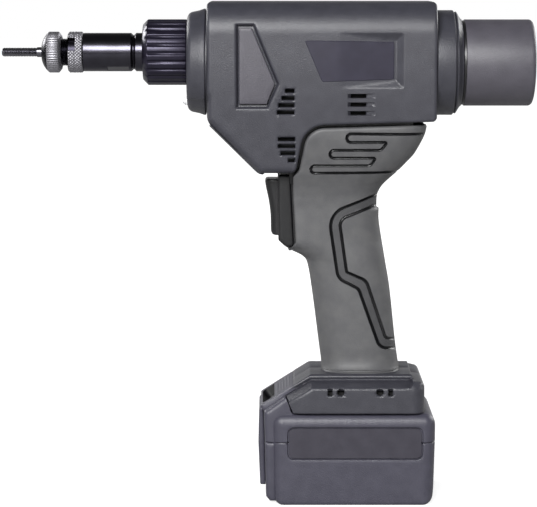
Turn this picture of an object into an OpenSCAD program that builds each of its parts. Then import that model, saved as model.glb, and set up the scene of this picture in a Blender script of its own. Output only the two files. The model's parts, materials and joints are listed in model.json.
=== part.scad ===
// Hand-held battery tool that sets blind rivet nuts.
// The nose points to -X, the grip hangs down -Z, and the battery base stands on Z = 0.
// The origin is the middle of the battery's flat base.

/* [Head] */
// Length of the head moulding along X
head_l = 145; // [135:1:160]
// Width of the head moulding across Y
head_w = 70; // [68:1:80]
// Height of the head at its rear end
head_h = 75; // [72:1:84]
// Height of the head's top above the base
head_top = 321.5; // [315:0.5:330]
// X of the head's front face
head_front = -93.5; // [-98:0.5:-90]
// Radius along the two top edges of the head
head_top_r = 20; // [12:1:24]
// Radius at the head's small corners in the side view
head_corner_r = 3; // [2:0.5:5]
// Depth of the belly below the rear underside
belly_drop = 33; // [30:1:36]
// Length of the belly's flat underside
belly_l = 22.5; // [20:0.5:25]
// Length along X of the slanted front underside
slant_run = 33.5; // [30:0.5:36]
// Height of the slanted front underside
slant_rise = 33; // [28:1:36]
// Wall thickness of the housing mouldings
wall = 3; // [2.5:0.1:3.5]

/* [Nose] */
// Depth of the nose axis below the head's top
nose_drop = 32.5; // [31.5:0.5:34.5]
// Depth below the head's top of the axis of front cover, rear flange and rear cap
main_drop = 39.2; // [37.5:0.1:40.5]
// Radius of the mandrel's thread
mandrel_r = 3; // [2:0.5:3]
// Radius of the mandrel's plain shank
shank_r = 3.2; // [3.1:0.1:3.3]
// Length of mandrel that stands out of the nosepiece
mandrel_out = 25.7; // [20:0.1:30]
// Length of the nosepiece
nosepiece_l = 12.7; // [11:0.1:14]
// Radius of the nosepiece
nosepiece_r = 13.1; // [12:0.1:14]
// Length of the rounded front of the nosepiece
nosepiece_cone = 4.8; // [3:0.1:6]
// Radius of the nosepiece's flat front
nosepiece_flat_r = 7.5; // [7:0.1:9]
// Gap in which the neck shows between nosepiece and lock ring
neck_gap = 4.2; // [3:0.1:6]
// Radius of the barrel's threaded neck
neck_r = 8.8; // [8.5:0.1:9.5]
// Length of the lock ring
lock_l = 9.9; // [8:0.1:12]
// Radius of the lock ring
lock_r = 13.3; // [12:0.1:14]
// Visible length of the barrel
barrel_l = 38.2; // [32:0.1:42]
// Radius of the barrel
barrel_r = 12.3; // [11.5:0.1:12.5]
// Length of the fluted collar
collar_l = 27.3; // [24:0.1:30]
// Radius of the fluted collar
collar_r = 21; // [20:0.1:22]
// Length of the collar's front cone
collar_cone = 3; // [2:0.1:4]
// Number of flutes round the collar
collar_flutes = 24; // [16:1:30]
// Length of the front cover along X
cover_l = 13; // [11:0.5:15]
// Radius of the front cover at its front
cover_front_r = 31.8; // [31:0.1:33]
// Radius of the front cover at the head
cover_rear_r = 34.6; // [33:0.1:35]
// Radius of the work light
light_r = 2.5; // [2:0.1:2.6]

/* [Rear] */
// Radius of the rear flange
flange_r = 33.5; // [32:0.1:34]
// Length of the rear flange's straight rim
flange_l = 12; // [10:0.5:14]
// Length of the cone between the flange and the cap
flange_cone = 5; // [4:0.1:6]
// Radius of the rear cap
cap_r = 27.6; // [27.4:0.1:28.5]
// Length of the rear cap
cap_l = 44; // [42:0.5:50]
// Radius at the rear cap's end
cap_corner_r = 4.5; // [3:0.1:6]

/* [Grip] */
// Depth of the handle along X where the hand holds it
grip_d = 50; // [48:0.5:54]
// Half width of the handle where the hand holds it
grip_hw = 18.5; // [18:0.5:20]
// Thickness of the soft skin on the handle
skin = 2; // [1.6:0.1:2.4]
// Gap of the seam between the head and the soft skin
seam_gap = 1.5; // [1:0.1:2]
// Height of the trigger
trigger_h = 36; // [34:0.5:38]
// Width of the trigger
trigger_w = 21; // [18:0.5:21]
// Travel of the trigger
trigger_travel = 6; // [4:0.5:6]
// Depth along X of the bezel that shows in front of the handle
bezel_d = 9; // [8:0.5:10]

/* [Foot] */
// Length of the foot along X
foot_l = 82; // [80:1:86]
// How far the foot's sides stand in from the battery's sides
foot_inset = 0; // [0:0.5:1.5]
// Height of the foot's side faces
foot_h = 17; // [16:0.5:18]
// Height of the foot's crown above its side faces
foot_crown = 6; // [5:0.5:7]
// Half width of the flat crown
crown_hw = 25; // [24:0.5:27]
// Spacing of the two hook screw holes on each side
hook_pitch = 25; // [20:0.5:30]
// Radius of the hook screw holes
hook_r = 2.2; // [1.8:0.1:2.4]
// Depth of the hook screw holes
hook_depth = 7; // [6:0.5:8]

/* [Battery] */
// Length of the battery case along X
case_l = 105; // [102:1:110]
// Width of the battery case
case_w = 73; // [72:1:78]
// Height of the battery case
case_h = 57; // [56.5:0.5:60]
// Height of the line where the two halves of the case meet
case_split = 41; // [38:0.5:44]
// Wall thickness of the battery case
case_wall = 2.5; // [2:0.1:2.8]
// Radius at the case's corners in the side view
case_corner_r = 7; // [5:0.5:9]
// Radius of one battery cell
cell_r = 9.2; // [9:0.1:9.3]
// Room between the ends of the cells and the case wall
cell_end_gap = 1.5; // [1:0.1:2]
// Travel of the release button
button_travel = 4; // [3:0.5:4.5]

/* [Drive] */
// Travel of the pull screw
pull_stroke = 8; // [6:0.5:8]
// Module of the nut gear and its pinion
gear_module = 1; // [1:0.01:1.02]
// Teeth of the nut gear
nut_teeth = 48; // [46:2:48]
// Teeth of the drive pinion
pinion_teeth = 18; // [18:2:20]
// Face width of the nut gear and its pinion
gear_w = 12; // [10:0.5:12]
// Module of the planet gears
planet_module = 0.8; // [0.75:0.01:0.8]
// Radius of the pull screw
screw_r = 8; // [7.5:0.1:8]
// Radius of the ball nut
nut_r = 15; // [14.5:0.1:15]
// Radius of the pull motor
motor_r = 18; // [17:0.1:18]
// Length of the pull motor
motor_l = 50; // [46:1:52]
// Length of the pull gearbox
gearbox_l = 24; // [22:1:26]
// Radius of the spin motor
spin_motor_r = 14; // [13:0.1:15]
// Length of the spin motor
spin_motor_l = 38; // [34:1:40]

/* [Hidden] */
$fn = 64;

// How far a cut runs past the face that it opens
overrun = 1;
// Clearance between pieces that are pushed or screwed together
fit = 0.1;
// Radial clearance of a shaft that turns or slides
run = 0.08;
// Clearance round a moving piece
free = 0.4;
// Straight steps in a rounded corner of an outline
corner_steps = 5;

// Colours, as the pieces look
plastic = "#5c5c63";
soft = "#6e6e70";
dark_plastic = "#3e3e41";
plate_black = "#3f3d4c";
anodised = "#2c2a36";
black_steel = "#26262a";
grey_steel = "#75747a";
bright_steel = "#b4b5b8";
brass = "#b89a52";
board_green = "#2f6b4a";
copper = "#b8713f";
cell_blue = "#3f6f9c";
clear = "#dfe6ea";

// Heights of the two axes
nose_z = head_top - nose_drop;
main_z = head_top - main_drop;

// Places along the nose, from the head's front face forwards
cover_x0 = head_front - cover_l;
collar_gap = 1;
collar_x1 = cover_x0 - collar_gap;
collar_x0 = collar_x1 - collar_l;
barrel_x0 = collar_x0 - barrel_l;
lock_x0 = barrel_x0 - lock_l;
nosepiece_x1 = lock_x0 - neck_gap;
nosepiece_x0 = nosepiece_x1 - nosepiece_l;
mandrel_tip = nosepiece_x0 - mandrel_out;
neck_into_share = 0.45;
neck_x0 = nosepiece_x1 - nosepiece_l * neck_into_share;

// Head outline in the side view
head_x1 = head_front + head_l;
head_z0 = head_top - head_h;
belly_z = head_z0 - belly_drop;
belly_x0 = head_front + slant_run;
belly_x1 = belly_x0 + belly_l;
seam_lean = 6;
seam_fall = 2.5;
seam_r = 15;
belly_r = 5;
chin_r = 9;
head_corners = [
  [belly_x0, belly_z, belly_r],
  [belly_x1, belly_z, belly_r],
  [belly_x1 + seam_lean, head_z0 - seam_fall, seam_r],
  [head_x1, head_z0, head_corner_r],
  [head_x1, head_top, head_corner_r],
  [head_front, head_top, head_corner_r],
  [head_front, belly_z + slant_rise, chin_r]
];

// Drive line places
hub_r = 17;
hub_bore_r = barrel_r + fit;
hub_front = collar_x0 + collar_cone + free;
plate_t = 6;
case_x0 = head_front + wall + fit;
thrust_x0 = case_x0 + plate_t;
washer_t = 2;
ball_r = 1.95;
thrust_l = 2 * washer_t + 2 * ball_r + fit;
nut_x0 = thrust_x0 + thrust_l;
nut_flange_t = 4;
nut_flange_r = 17;
gear_x0 = nut_x0 + nut_flange_t;
gear_x1 = gear_x0 + gear_w;
case_split_x = gear_x1 + washer_t;
case_rear_t = 8;
case_x1 = case_split_x + case_rear_t;
nut_x1 = case_x1 - free;
case_wall_t = 2.4;
gear_gap = 0.7;
pinion_z = nose_z - gear_module * (nut_teeth + pinion_teeth) / 2;
nut_case_r = gear_module * (nut_teeth / 2 + 1) + gear_gap;
pinion_case_r = gear_module * (pinion_teeth / 2 + 1) + gear_gap;
lobe_x0 = gear_x0 - plate_t;
bearing_l = 7;
bearing_r = 21;
race_t = 1.3;
small_ball_r = (bearing_r - nut_r - 2 * race_t) / 2 - fit / 2;
bearing_ball_count = 14;
thrust_ball_count = 12;
pinion_shaft_r = 4;
pinion_stub_r = 3;
gearbox_x0 = case_x1 + fit;
motor_x0 = gearbox_x0 + gearbox_l;
motor_x1 = motor_x0 + motor_l;
gearbox_r = motor_r - free;

// Pull screw, chuck and hex drive
cup_r = hub_bore_r - free;
cup_l = 16;
cup_x1 = thrust_x0 - pull_stroke - free;
cup_x0 = cup_x1 - cup_l;
cup_floor = 4;
chuck_r = 6;
chuck_flange_r = 9;
chuck_flange_l = 4;
chuck_x1 = cup_x1 - cup_floor - fit;
chuck_l = 70;
chuck_x0 = chuck_x1 - chuck_l;
mandrel_in = 22;
socket_l = 38;
hex_r = 3.2;
hex_bore_r = 3.6;
hex_front = chuck_x1 - socket_l + pull_stroke + 2 * chuck_flange_l;
screw_tail = 22;
key_w = 3;
key_h = 2;
keyway_l = 40;
guide_x0 = 4;
guide_l = 8;
guide_r = 14;
barrel_x1 = cup_x0 - 2 * chuck_flange_l;
bore_r = chuck_r + free;

// Spin gearbox and rear pieces
sun_teeth = 12;
planet_teeth = 12;
ring_teeth = 36;
planet_count = 3;
planet_ring_r = planet_module * (sun_teeth + planet_teeth) / 2;
flange_step = head_x1 + flange_l / 2;
bracket_t = 3;
bracket_x0 = flange_step - bracket_t;
ring_l = 16;
ring_x0 = bracket_x0 - ring_l;
ring_r = 17.5;
teeth_l = 10;
teeth_x0 = bracket_x0 - teeth_l - free;
cover_plate_t = 4;
carrier_t = 4;
carrier_x1 = teeth_x0 - free;
carrier_x0 = carrier_x1 - carrier_t;
carrier_r = 13;
carrier_hub_r = 6;
carrier_hub_l = 6;
planet_pin_r = 1.5;
rotor_shaft_r = 1.5;
motor_boss_r = 5;
can_t = 1.5;
armature_r = 10.5;
spin_x0 = flange_step;
spin_x1 = spin_x0 + spin_motor_l;
cap_neck_step = 1.2;
cap_neck_r = cap_r - cap_neck_step;
cap_wall = 2.5;
cap_gap = 1.9;
cap_x0 = head_x1 + flange_l + flange_cone + cap_gap;
cap_round_share = 0.3;
cap_x1 = cap_x0 + cap_l;
flange_bore_r = 29;
spigot_r = 30;
spigot_l = 5.5;

// Handle stations from the foot up: height above the base, front and back as X, half width
foot_gap = 2.6;
foot_z0 = case_h + foot_gap;
foot_z1 = foot_z0 + foot_h;
crown_z = foot_z1 + foot_crown;
foot_w = case_w - 2 * foot_inset;
grip_h = head_z0 - crown_z;
// Shares of grip_h for height, of grip_d for front and back, and of grip_hw for half width
grip_shares = [
  [-0.09, -0.37, 0.62, 1.02],
  [0.04, -0.405, 0.595, 0.97],
  [0.22, -0.475, 0.525, 0.96],
  [0.38, -0.55, 0.455, 0.98],
  [0.45, -0.63, 0.42, 1],
  [0.495, -0.77, 0.395, 1],
  [0.56, -0.765, 0.36, 1],
  [0.65, -0.785, 0.315, 1.02],
  [0.7, -0.795, 0.32, 1.06],
  [0.745, -0.8, 0.4, 1.16],
  [0.8, -0.795, 0.565, 1.33],
  [0.87, -0.74, 0.78, 1.55],
  [0.94, -0.64, 0.9, 1.7],
  [1, -0.6, 0.94, 1.77],
  [1.06, -0.58, 0.95, 1.77]
];
grip_sides = 28;
grip_power_share = 0.72;

// Trigger and switch
trigger_drop = 5.7;
trigger_z1 = belly_z - trigger_drop;
trigger_z0 = trigger_z1 - trigger_h;
bezel_x0 = -48.4;
bezel_hidden = 5;
bezel_x1 = bezel_x0 + bezel_d + bezel_hidden;
bezel_hw = 14.5;
bezel_lip = 7;
bezel_z0 = trigger_z0 - bezel_lip;
bezel_z1 = belly_z - fit;
trigger_top_d = 8.4;
trigger_low_d = 4.6;
trigger_block_l = 6.5;
stem_r = 3;
stem_l = 12;
stem_z = (trigger_z0 + trigger_z1) / 2;
spring_shut = 4;
switch_x0 = bezel_x0 + trigger_block_l + trigger_travel + spring_shut;
switch_l = 22;
switch_w = 20;
switch_h = 30;
spring_r = 4.6;
spring_wire_r = 0.45;
spring_turns = 4;

// Battery places
case_x = case_l / 2;
cell_l = case_w - 2 * (case_wall + cell_end_gap);
tongue_x0 = -38;
tongue_x1 = 42;
tongue_hw = 26.5;
tongue_neck_hw = 23.5;
tongue_neck_h = 5;
tongue_h = 10;
tongue_z1 = case_h + tongue_h;
front_step = 5;
front_step_hw = 29;
front_step_z0 = 3;
button_t = 3.6;
button_hw = 20;
button_z0 = 10;
button_z1 = 61.5;
button_tab_l = 7;
button_tab_hw = 8;
button_tab_z = 50;
button_tab_t = 5;
button_spring_shut = 3;
hump_z = 76.6;
hump_x1 = tongue_x0 - free;
hump_fall = 5;
hump_shoulder_hw = 34;
hump_front_z = 62.5;
cell_web = 1.2;
layer_z1 = case_wall + cell_web + cell_r;
layer_pitch = 2 * cell_r + cell_web;
cell_pitch = 2 * cell_r + cell_web;
cell_columns = 5;
holder_t = 6;
holder_y_share = 0.31;
holder_y = cell_l * holder_y_share;
holder_h = layer_z1 + layer_pitch + cell_r + cell_web;
holder_l = cell_pitch * cell_columns + cell_web;
strap_t = 0.3;
board_t = 1.6;
blade_t = 1.2;
blade_l = 14;
blade_x0 = 2;
blade_pitch = 9;
blade_count = 4;
slot_w = 4.6;
clip_leaf_t = 0.6;
clip_gap = 0.3;
slot_floor = case_h + 3.5;

// Screws: shares of head length and of the head's height over the belly, from the front and below
head_screw_shares = [[0.425, 0.91], [0.93, 0.91], [0.28, 0.09], [0.93, 0.375]];
// Shares of grip_d along X and of grip_h over the crown
grip_screw_shares = [[0.05, 0.52], [0.08, 0.06]];
screw_head_r = 2.9;
screw_head_h = 2.6;
screw_shank_r = 1.6;
screw_boss_r = 4.6;
screw_seat_y = 9;
screw_depth = 7;
head_screws = [for (s = head_screw_shares)
  [head_front + s[0] * head_l, belly_z + s[1] * (head_top - belly_z)]];
grip_screws = [for (s = grip_screw_shares) [s[0] * grip_d, crown_z + s[1] * grip_h]];
all_screws = concat(head_screws, grip_screws);

// Rounded outlines

function unit(v) = v / norm(v);
function left_of(v) = [-v[1], v[0]];
function flat(p) = [p[0], p[1]];
function at(list, i) = list[(i + len(list)) % len(list)];

// Corner b of the path a, b, c, moved to the left by d
function moved_corner(a, b, c, d) =
  let (n = left_of(unit(b - a)), m = left_of(unit(c - b)))
  b + (n + m) * d / (1 + n * m);

// An outline of [x, y, radius] corners, counter-clockwise, drawn in by d
function inset(corners, d) = [for (i = [0:len(corners) - 1])
  let (a = flat(at(corners, i - 1)), b = flat(corners[i]), c = flat(at(corners, i + 1)))
  let (p = moved_corner(a, b, c, d), convex = cross(b - a, c - b) > 0)
  [p[0], p[1], max(corners[i][2] + (convex ? -d : d), 0)]];

// The arc that rounds corner b
function corner_arc(a, b, c, r) =
  let (u = unit(a - b), v = unit(c - b), half = acos(u * v) / 2)
  let (o = b + unit(u + v) * r / sin(half), p = b + u * r / tan(half) - o)
  let (start = atan2(p[1], p[0]), sweep = (cross(b - a, c - b) > 0 ? 1 : -1) * (180 - 2 * half))
  [for (k = [0:corner_steps]) o + r * [cos(start + sweep * k / corner_steps),
                                       sin(start + sweep * k / corner_steps)]];

function rounded(corners) = [for (i = [0:len(corners) - 1])
  let (a = flat(at(corners, i - 1)), b = flat(corners[i]), c = flat(at(corners, i + 1)))
  each corners[i][2] > 0 ? corner_arc(a, b, c, corners[i][2]) : [b]];

// Corners of a rectangle, all with radius r
function box_corners(x0, y0, x1, y1, r = 0) = [[x0, y0, r], [x1, y0, r], [x1, y1, r], [x0, y1, r]];

// An X-Z outline, drawn across Y
module side(points, y0, y1) {
  translate([0, y1, 0]) rotate([90, 0, 0]) linear_extrude(y1 - y0) polygon(points);
}

// A Y-Z outline, drawn along X
module along(points, x0, x1) {
  translate([x0, 0, 0]) rotate([90, 0, 90]) linear_extrude(x1 - x0) polygon(points);
}

// A bar from corner to corner
module bar(low, high) {
  translate(low) cube(high - low);
}

// A round rod along X
module rod(x0, x1, r, z = nose_z, y = 0) {
  translate([x0, y, z]) rotate([0, 90, 0]) cylinder(h = x1 - x0, r = r);
}

// A tube along X
module tube(x0, x1, r, bore, z = nose_z) {
  difference() {
    rod(x0, x1, r, z);
    rod(x0 - overrun, x1 + overrun, bore, z);
  }
}

// A turned piece: [x, radius] points round an axis along X
module turned(profile, z = nose_z) {
  translate([0, 0, z]) rotate([0, 90, 0]) rotate_extrude() polygon([for (p = profile) [p[1], p[0]]]);
}

// A round rod across Y
module pin_y(x, z, y0, y1, r) {
  translate([x, y1, z]) rotate([90, 0, 0]) cylinder(h = y1 - y0, r = r);
}

// Half of space on one side: -1 is the left half, 1 the right half
reach = 400;
module half(sign) {
  translate([-reach, sign < 0 ? -reach : 0, -reach]) cube([2 * reach, reach, 2 * reach]);
}

// Gears

pressure = 25;
tooth_top_share = 0.9;
tooth_root_share = 1.15;
backlash = 0.12;
flank_steps = 4;

function involute(a) = tan(a) * 180 / PI - a;
function half_tooth(teeth, m, slack, r) =
  let (rp = teeth * m / 2, rb = rp * cos(pressure), q = max(r, rb))
  90 / teeth - slack / rp / 2 * 180 / PI + involute(pressure) - involute(acos(rb / q));
function polar(r, a) = [r * cos(a), r * sin(a)];

// A gear's outline with a tooth at angle 0; a ring gear's hole takes its larger tip and negative slack
function gear_outline(teeth, m, tip, root, slack) =
  let (rp = teeth * m / 2, r0 = rp - root, r1 = rp + tip)
  [for (k = [0:teeth - 1]) each concat(
    [for (s = [0:flank_steps]) let (r = r0 + (r1 - r0) * s / flank_steps)
      polar(r, k * 360 / teeth - half_tooth(teeth, m, slack, r))],
    [for (s = [flank_steps:-1:0]) let (r = r0 + (r1 - r0) * s / flank_steps)
      polar(r, k * 360 / teeth + half_tooth(teeth, m, slack, r))])];

module gear(teeth, m, x0, x1, z = nose_z, y = 0, turn = 0) {
  translate([0, y, z]) rotate([turn, 0, 0])
    along(gear_outline(teeth, m, m * tooth_top_share, m * tooth_root_share, backlash), x0, x1);
}

// Wire springs

function helix(r, length, turns, steps) = [for (i = [0:turns * steps])
  [r * cos(360 * i / steps), r * sin(360 * i / steps), length * i / (turns * steps)]];

wire_sides = 6;
curl_rings = 8;

// Rings of a wire that follows a helix round Z
function wire_rings(r, wire_r, length, turns) =
  [for (p = helix(r, length, turns, curl_rings)) let (a = atan2(p[1], p[0]))
    [for (k = [0:wire_sides - 1]) p + wire_r * [cos(360 * k / wire_sides) * cos(a),
      cos(360 * k / wire_sides) * sin(a), sin(360 * k / wire_sides)]]];

// A closed skin over rings of equal size, with triangles all round and flat ends
module skinned(rings) {
  n = len(rings[0]);
  last = len(rings) - 1;
  sides = [for (i = [0:last - 1], k = [0:n - 1]) each [
    [i * n + k, (i + 1) * n + k, i * n + (k + 1) % n],
    [i * n + (k + 1) % n, (i + 1) * n + k, (i + 1) * n + (k + 1) % n]]];
  low = [for (k = [0:n - 1]) k];
  high = [for (k = [n - 1:-1:0]) last * n + k];
  polyhedron([for (ring = rings) each ring], concat(sides, [low, high]));
}

module wire(r, wire_r, length, turns) {
  skinned(wire_rings(r, wire_r, length, turns));
  path = helix(r, length, turns, curl_rings);
  gaps = [for (i = [0:len(path) - 1], j = [i + curl_rings / 2:1:len(path) - 1])
    norm(path[i] - path[j]) - 2 * wire_r];
  echo(least_gap = min(gaps));
}

// Housing

// The head, drawn in by d on every side
module head_solid(d = 0) {
  hw = head_w / 2 - d;
  intersection() {
    side(rounded(inset(head_corners, d)), -hw, hw);
    along(rounded([[-hw, belly_z - overrun, 0], [hw, belly_z - overrun, 0],
      [hw, head_top - d, head_top_r - d], [-hw, head_top - d, head_top_r - d]]), head_front, head_x1);
  }
}

// One level outline of the handle: [height, front, back, half width] as shares
function grip_ring(s, d) =
  let (x0 = s[1] * grip_d + d, x1 = s[2] * grip_d - d, hw = s[3] * grip_hw - d)
  [for (k = [0:grip_sides - 1]) let (a = 360 * k / grip_sides, c = cos(a), n = sin(a))
    [(x0 + x1) / 2 + (x1 - x0) / 2 * sign(c) * pow(abs(c), grip_power_share),
      hw * sign(n) * pow(abs(n), grip_power_share), crown_z + s[0] * grip_h]];

module grip_solid(d = 0) {
  skinned([for (s = grip_shares) grip_ring(s, d)]);
}

foot_x1 = 45.5;
foot_x0 = foot_x1 - foot_l;
foot_corner_r = 9;
foot_slope_run = 10;
foot_slope_h = 7.5;
crown_edge = 6;
crown_step = 3;
foot_corners = [
  [foot_x0, foot_z0, 0],
  [foot_x1, foot_z0, 0],
  [foot_x1, crown_z, crown_edge],
  [foot_x0 + foot_slope_run, crown_z, crown_edge],
  [foot_x0, crown_z - foot_slope_h, 0]
];

// The foot with its chamfered shoulders, its crown and its rounded rear corners
module foot_solid() {
  hw = foot_w / 2;
  intersection() {
    side(rounded(foot_corners), -hw, hw);
    along([[-hw, foot_z0], [hw, foot_z0], [hw, foot_z1], [hw - crown_edge, foot_z1 + crown_step],
      [crown_hw, foot_z1 + crown_step], [crown_hw, crown_z], [-crown_hw, crown_z],
      [-crown_hw, foot_z1 + crown_step], [crown_edge - hw, foot_z1 + crown_step], [-hw, foot_z1]],
      foot_x0, foot_x1);
    translate([0, 0, foot_z0]) linear_extrude(foot_h + foot_crown)
      polygon(rounded([[foot_x0, -hw, 0], [foot_x1, -hw, foot_corner_r],
        [foot_x1, hw, foot_corner_r], [foot_x0, hw, 0]]));
  }
}

// The channel that the battery's tongue slides in, and the room above it for the terminals
block_x0 = -14;
block_x1 = 24;
block_hw = 20;
block_z1 = crown_z - wall;
module foot_hollow() {
  z1 = tongue_z1 + free;
  neck_z = case_h + tongue_neck_h;
  bar([foot_x0 - overrun, -tongue_neck_hw - free, foot_z0 - overrun],
    [tongue_x1 + free, tongue_neck_hw + free, z1]);
  bar([foot_x0 - overrun, -tongue_hw - free, neck_z - free], [tongue_x1 + free, tongue_hw + free, z1]);
  bar([block_x0 - fit, -block_hw - fit, z1 - overrun], [block_x1 + fit, block_hw + fit, block_z1]);
}

// Ribs across the head that carry the drive line: X places
rib_t = 2.5;
rib_places = [case_x0 + 3 * plate_t, motor_x0 - gearbox_l / 2, motor_x0 + motor_l / 4,
  guide_x0 + guide_l / 2];

module drive_room() {
  rod(head_front - overrun, case_x1 + 2 * fit, nut_case_r + case_wall_t + fit);
  rod(lobe_x0 - fit, case_x1 + 2 * fit, pinion_case_r + case_wall_t + fit, pinion_z);
  bar([lobe_x0 - fit, -pinion_case_r - case_wall_t - fit, pinion_z],
    [case_x1 + 2 * fit, pinion_case_r + case_wall_t + fit, nose_z]);
  rod(guide_x0 - fit, guide_x0 + guide_l + fit, guide_r + fit);
  rod(case_x1, head_x1, screw_r + free);
}

// Switch and board places inside the handle
switch_z0 = stem_z - switch_h / 2;
board_l = 54;
board_d = 24;
board_x = 1.5;
board_z = 105;
board_lean = 7;
board_y0 = -board_t / 2;
board_chip_shares = [0.3, 0.5];
module board_place(room = 0) {
  translate([board_x, 0, board_z]) rotate([0, -board_lean, 0])
    bar([-board_d / 2 - room, board_y0 - room, -room], [board_d / 2 + room, board_y0 + board_t + room,
      board_l + room]);
}

module switch_place(room = 0) {
  bar([switch_x0 - room, -switch_w / 2 - room, switch_z0 - room],
    [switch_x0 + switch_l + room, switch_w / 2 + room, switch_z0 + switch_h + room]);
}

grip_rib_t = 2.4;
module grip_ribs() {
  for (z = [board_z + board_l / 5, board_z + board_l * 4 / 5])
    bar([-grip_d, -grip_hw, z], [grip_d, grip_hw, z + grip_rib_t]);
  for (x = [switch_x0 + switch_l / 4, switch_x0 + switch_l * 3 / 4])
    bar([x, -grip_hw, switch_z0], [x + grip_rib_t, grip_hw, switch_z0 + switch_h]);
}

// Side features that are cut alike in both halves

panel_shares = [[0.125, 0.88], [0.125, 0.38], [0.27, 0.38], [0.318, 0.53], [0.21, 0.88]];
panel_depth = 2;
panel_rim = 2.6;
panel_groove = 0.7;
panel_t = 1.4;
panel_corners = [for (s = panel_shares)
  [head_front + s[0] * head_l, belly_z + s[1] * (head_top - belly_z), 0]];

label_shares = [[0.424, 0.775], [0.507, 0.54], [0.806, 0.558], [0.812, 0.767]];
label_t = 1;
label_sunk = 0.5;
label_depth = 2.4;
label_corners = [for (s = label_shares)
  [head_front + s[0] * head_l, belly_z + s[1] * (head_top - belly_z), 0]];
label_rim = 4;
label_wall_run = 5;

// Vent rows: shares of head length for both ends, and of the height over the belly for the first slot
vent_shares = [
  [[0.346, 0.38, 0.486], [0.328, 0.38, 0.444], [0.314, 0.382, 0.402], [0.307, 0.382, 0.36]],
  [[0.31, 0.384, 0.204], [0.31, 0.384, 0.163], [0.322, 0.384, 0.121], [0.355, 0.384, 0.08]],
  [[0.626, 0.691, 0.456], [0.626, 0.691, 0.407], [0.626, 0.691, 0.358]]
];
vent_h = 2.3;
louvre_run = 6;
louvre_depth = 1.6;

module vents() {
  for (row = vent_shares, s = row) {
    x0 = head_front + s[0] * head_l;
    x1 = head_front + s[1] * head_l;
    z = belly_z + s[2] * (head_top - belly_z);
    bar([x0, -head_w, z - vent_h / 2], [x1, head_w, z + vent_h / 2]);
  }
}

// The rear row of vents has a ramp behind each slot
module louvres(sign) {
  for (s = vent_shares[2]) {
    x1 = head_front + s[1] * head_l;
    z = belly_z + s[2] * (head_top - belly_z);
    y = head_w / 2;
    scale([1, sign, 1]) translate([0, 0, z - vent_h / 2]) linear_extrude(vent_h)
      polygon([[x1 - overrun, y - louvre_depth], [x1 + louvre_run, y], [x1 + louvre_run, y + overrun],
        [x1 - overrun, y + overrun]]);
  }
}

// The five-sided pocket of the side panel, with sloping walls
module panel_pocket(sign) {
  y = head_w / 2;
  floor_corners = inset(panel_corners, panel_rim);
  scale([1, sign, 1]) {
    hull() {
      side(rounded(floor_corners), y - panel_depth, y - panel_depth + fit);
      side(rounded(panel_corners), y, y + fit);
    }
    side(rounded(floor_corners), y - panel_depth - panel_t, y);
  }
}

// The label's recess: a flat floor that runs deeper towards the rear
module label_pocket(sign) {
  y = head_w / 2;
  outer = inset(label_corners, -label_rim);
  scale([1, sign, 1]) intersection() {
    side(rounded(outer), y - 2 * label_depth, y + overrun);
    translate([0, 0, belly_z]) linear_extrude(head_top - belly_z) polygon([
      [label_corners[0][0] - label_rim, y], [label_corners[2][0], y - label_depth],
      [label_corners[2][0] + label_wall_run, y], [label_corners[2][0] + label_wall_run, y + overrun],
      [label_corners[0][0] - label_rim, y + overrun]]);
  }
}

// Room for the label plate itself in that floor
module label_seat(sign, room) {
  y = head_w / 2;
  x0 = label_corners[0][0] - label_rim;
  x1 = label_corners[2][0] + label_rim;
  lean = label_depth / (label_corners[2][0] - x0);
  scale([1, sign, 1]) intersection() {
    side(rounded(inset(label_corners, -room)), y - 2 * label_depth, y + overrun);
    translate([0, 0, belly_z]) linear_extrude(head_top - belly_z) polygon([
      [x0, y - label_sunk], [x1, y - label_sunk - lean * (x1 - x0)],
      [x1, y - label_sunk + label_t - lean * (x1 - x0)], [x0, y - label_sunk + label_t]]);
  }
}

tab_slot_w = 2.8;
tab_slot_h = 4.8;
tab_slot_gap = 6.8;
hook_x = 4.1;
hook_z = foot_z1 - 1.2 * hook_r;
module hook_holes() {
  y = foot_w / 2;
  for (s = [-1, 1], e = [-1, 1]) {
    x = hook_x + e * hook_pitch / 2;
    pin_y(x, hook_z, s < 0 ? -y - overrun : y - hook_depth, s < 0 ? hook_depth - y : y + overrun, hook_r);
    bar([x + e * tab_slot_gap - tab_slot_w / 2, s < 0 ? -y - overrun : y - hook_depth,
      hook_z - tab_slot_h / 2],
      [x + e * tab_slot_gap + tab_slot_w / 2, s < 0 ? hook_depth - y : y + overrun, hook_z + tab_slot_h / 2]);
  }
}

// The opening behind the bezel that the trigger works through
module trigger_opening() {
  bar([bezel_x0 - overrun, -trigger_w / 2 - free, trigger_z0 - free],
    [switch_x0 + free, trigger_w / 2 + free, trigger_z1 + free]);
}

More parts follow.
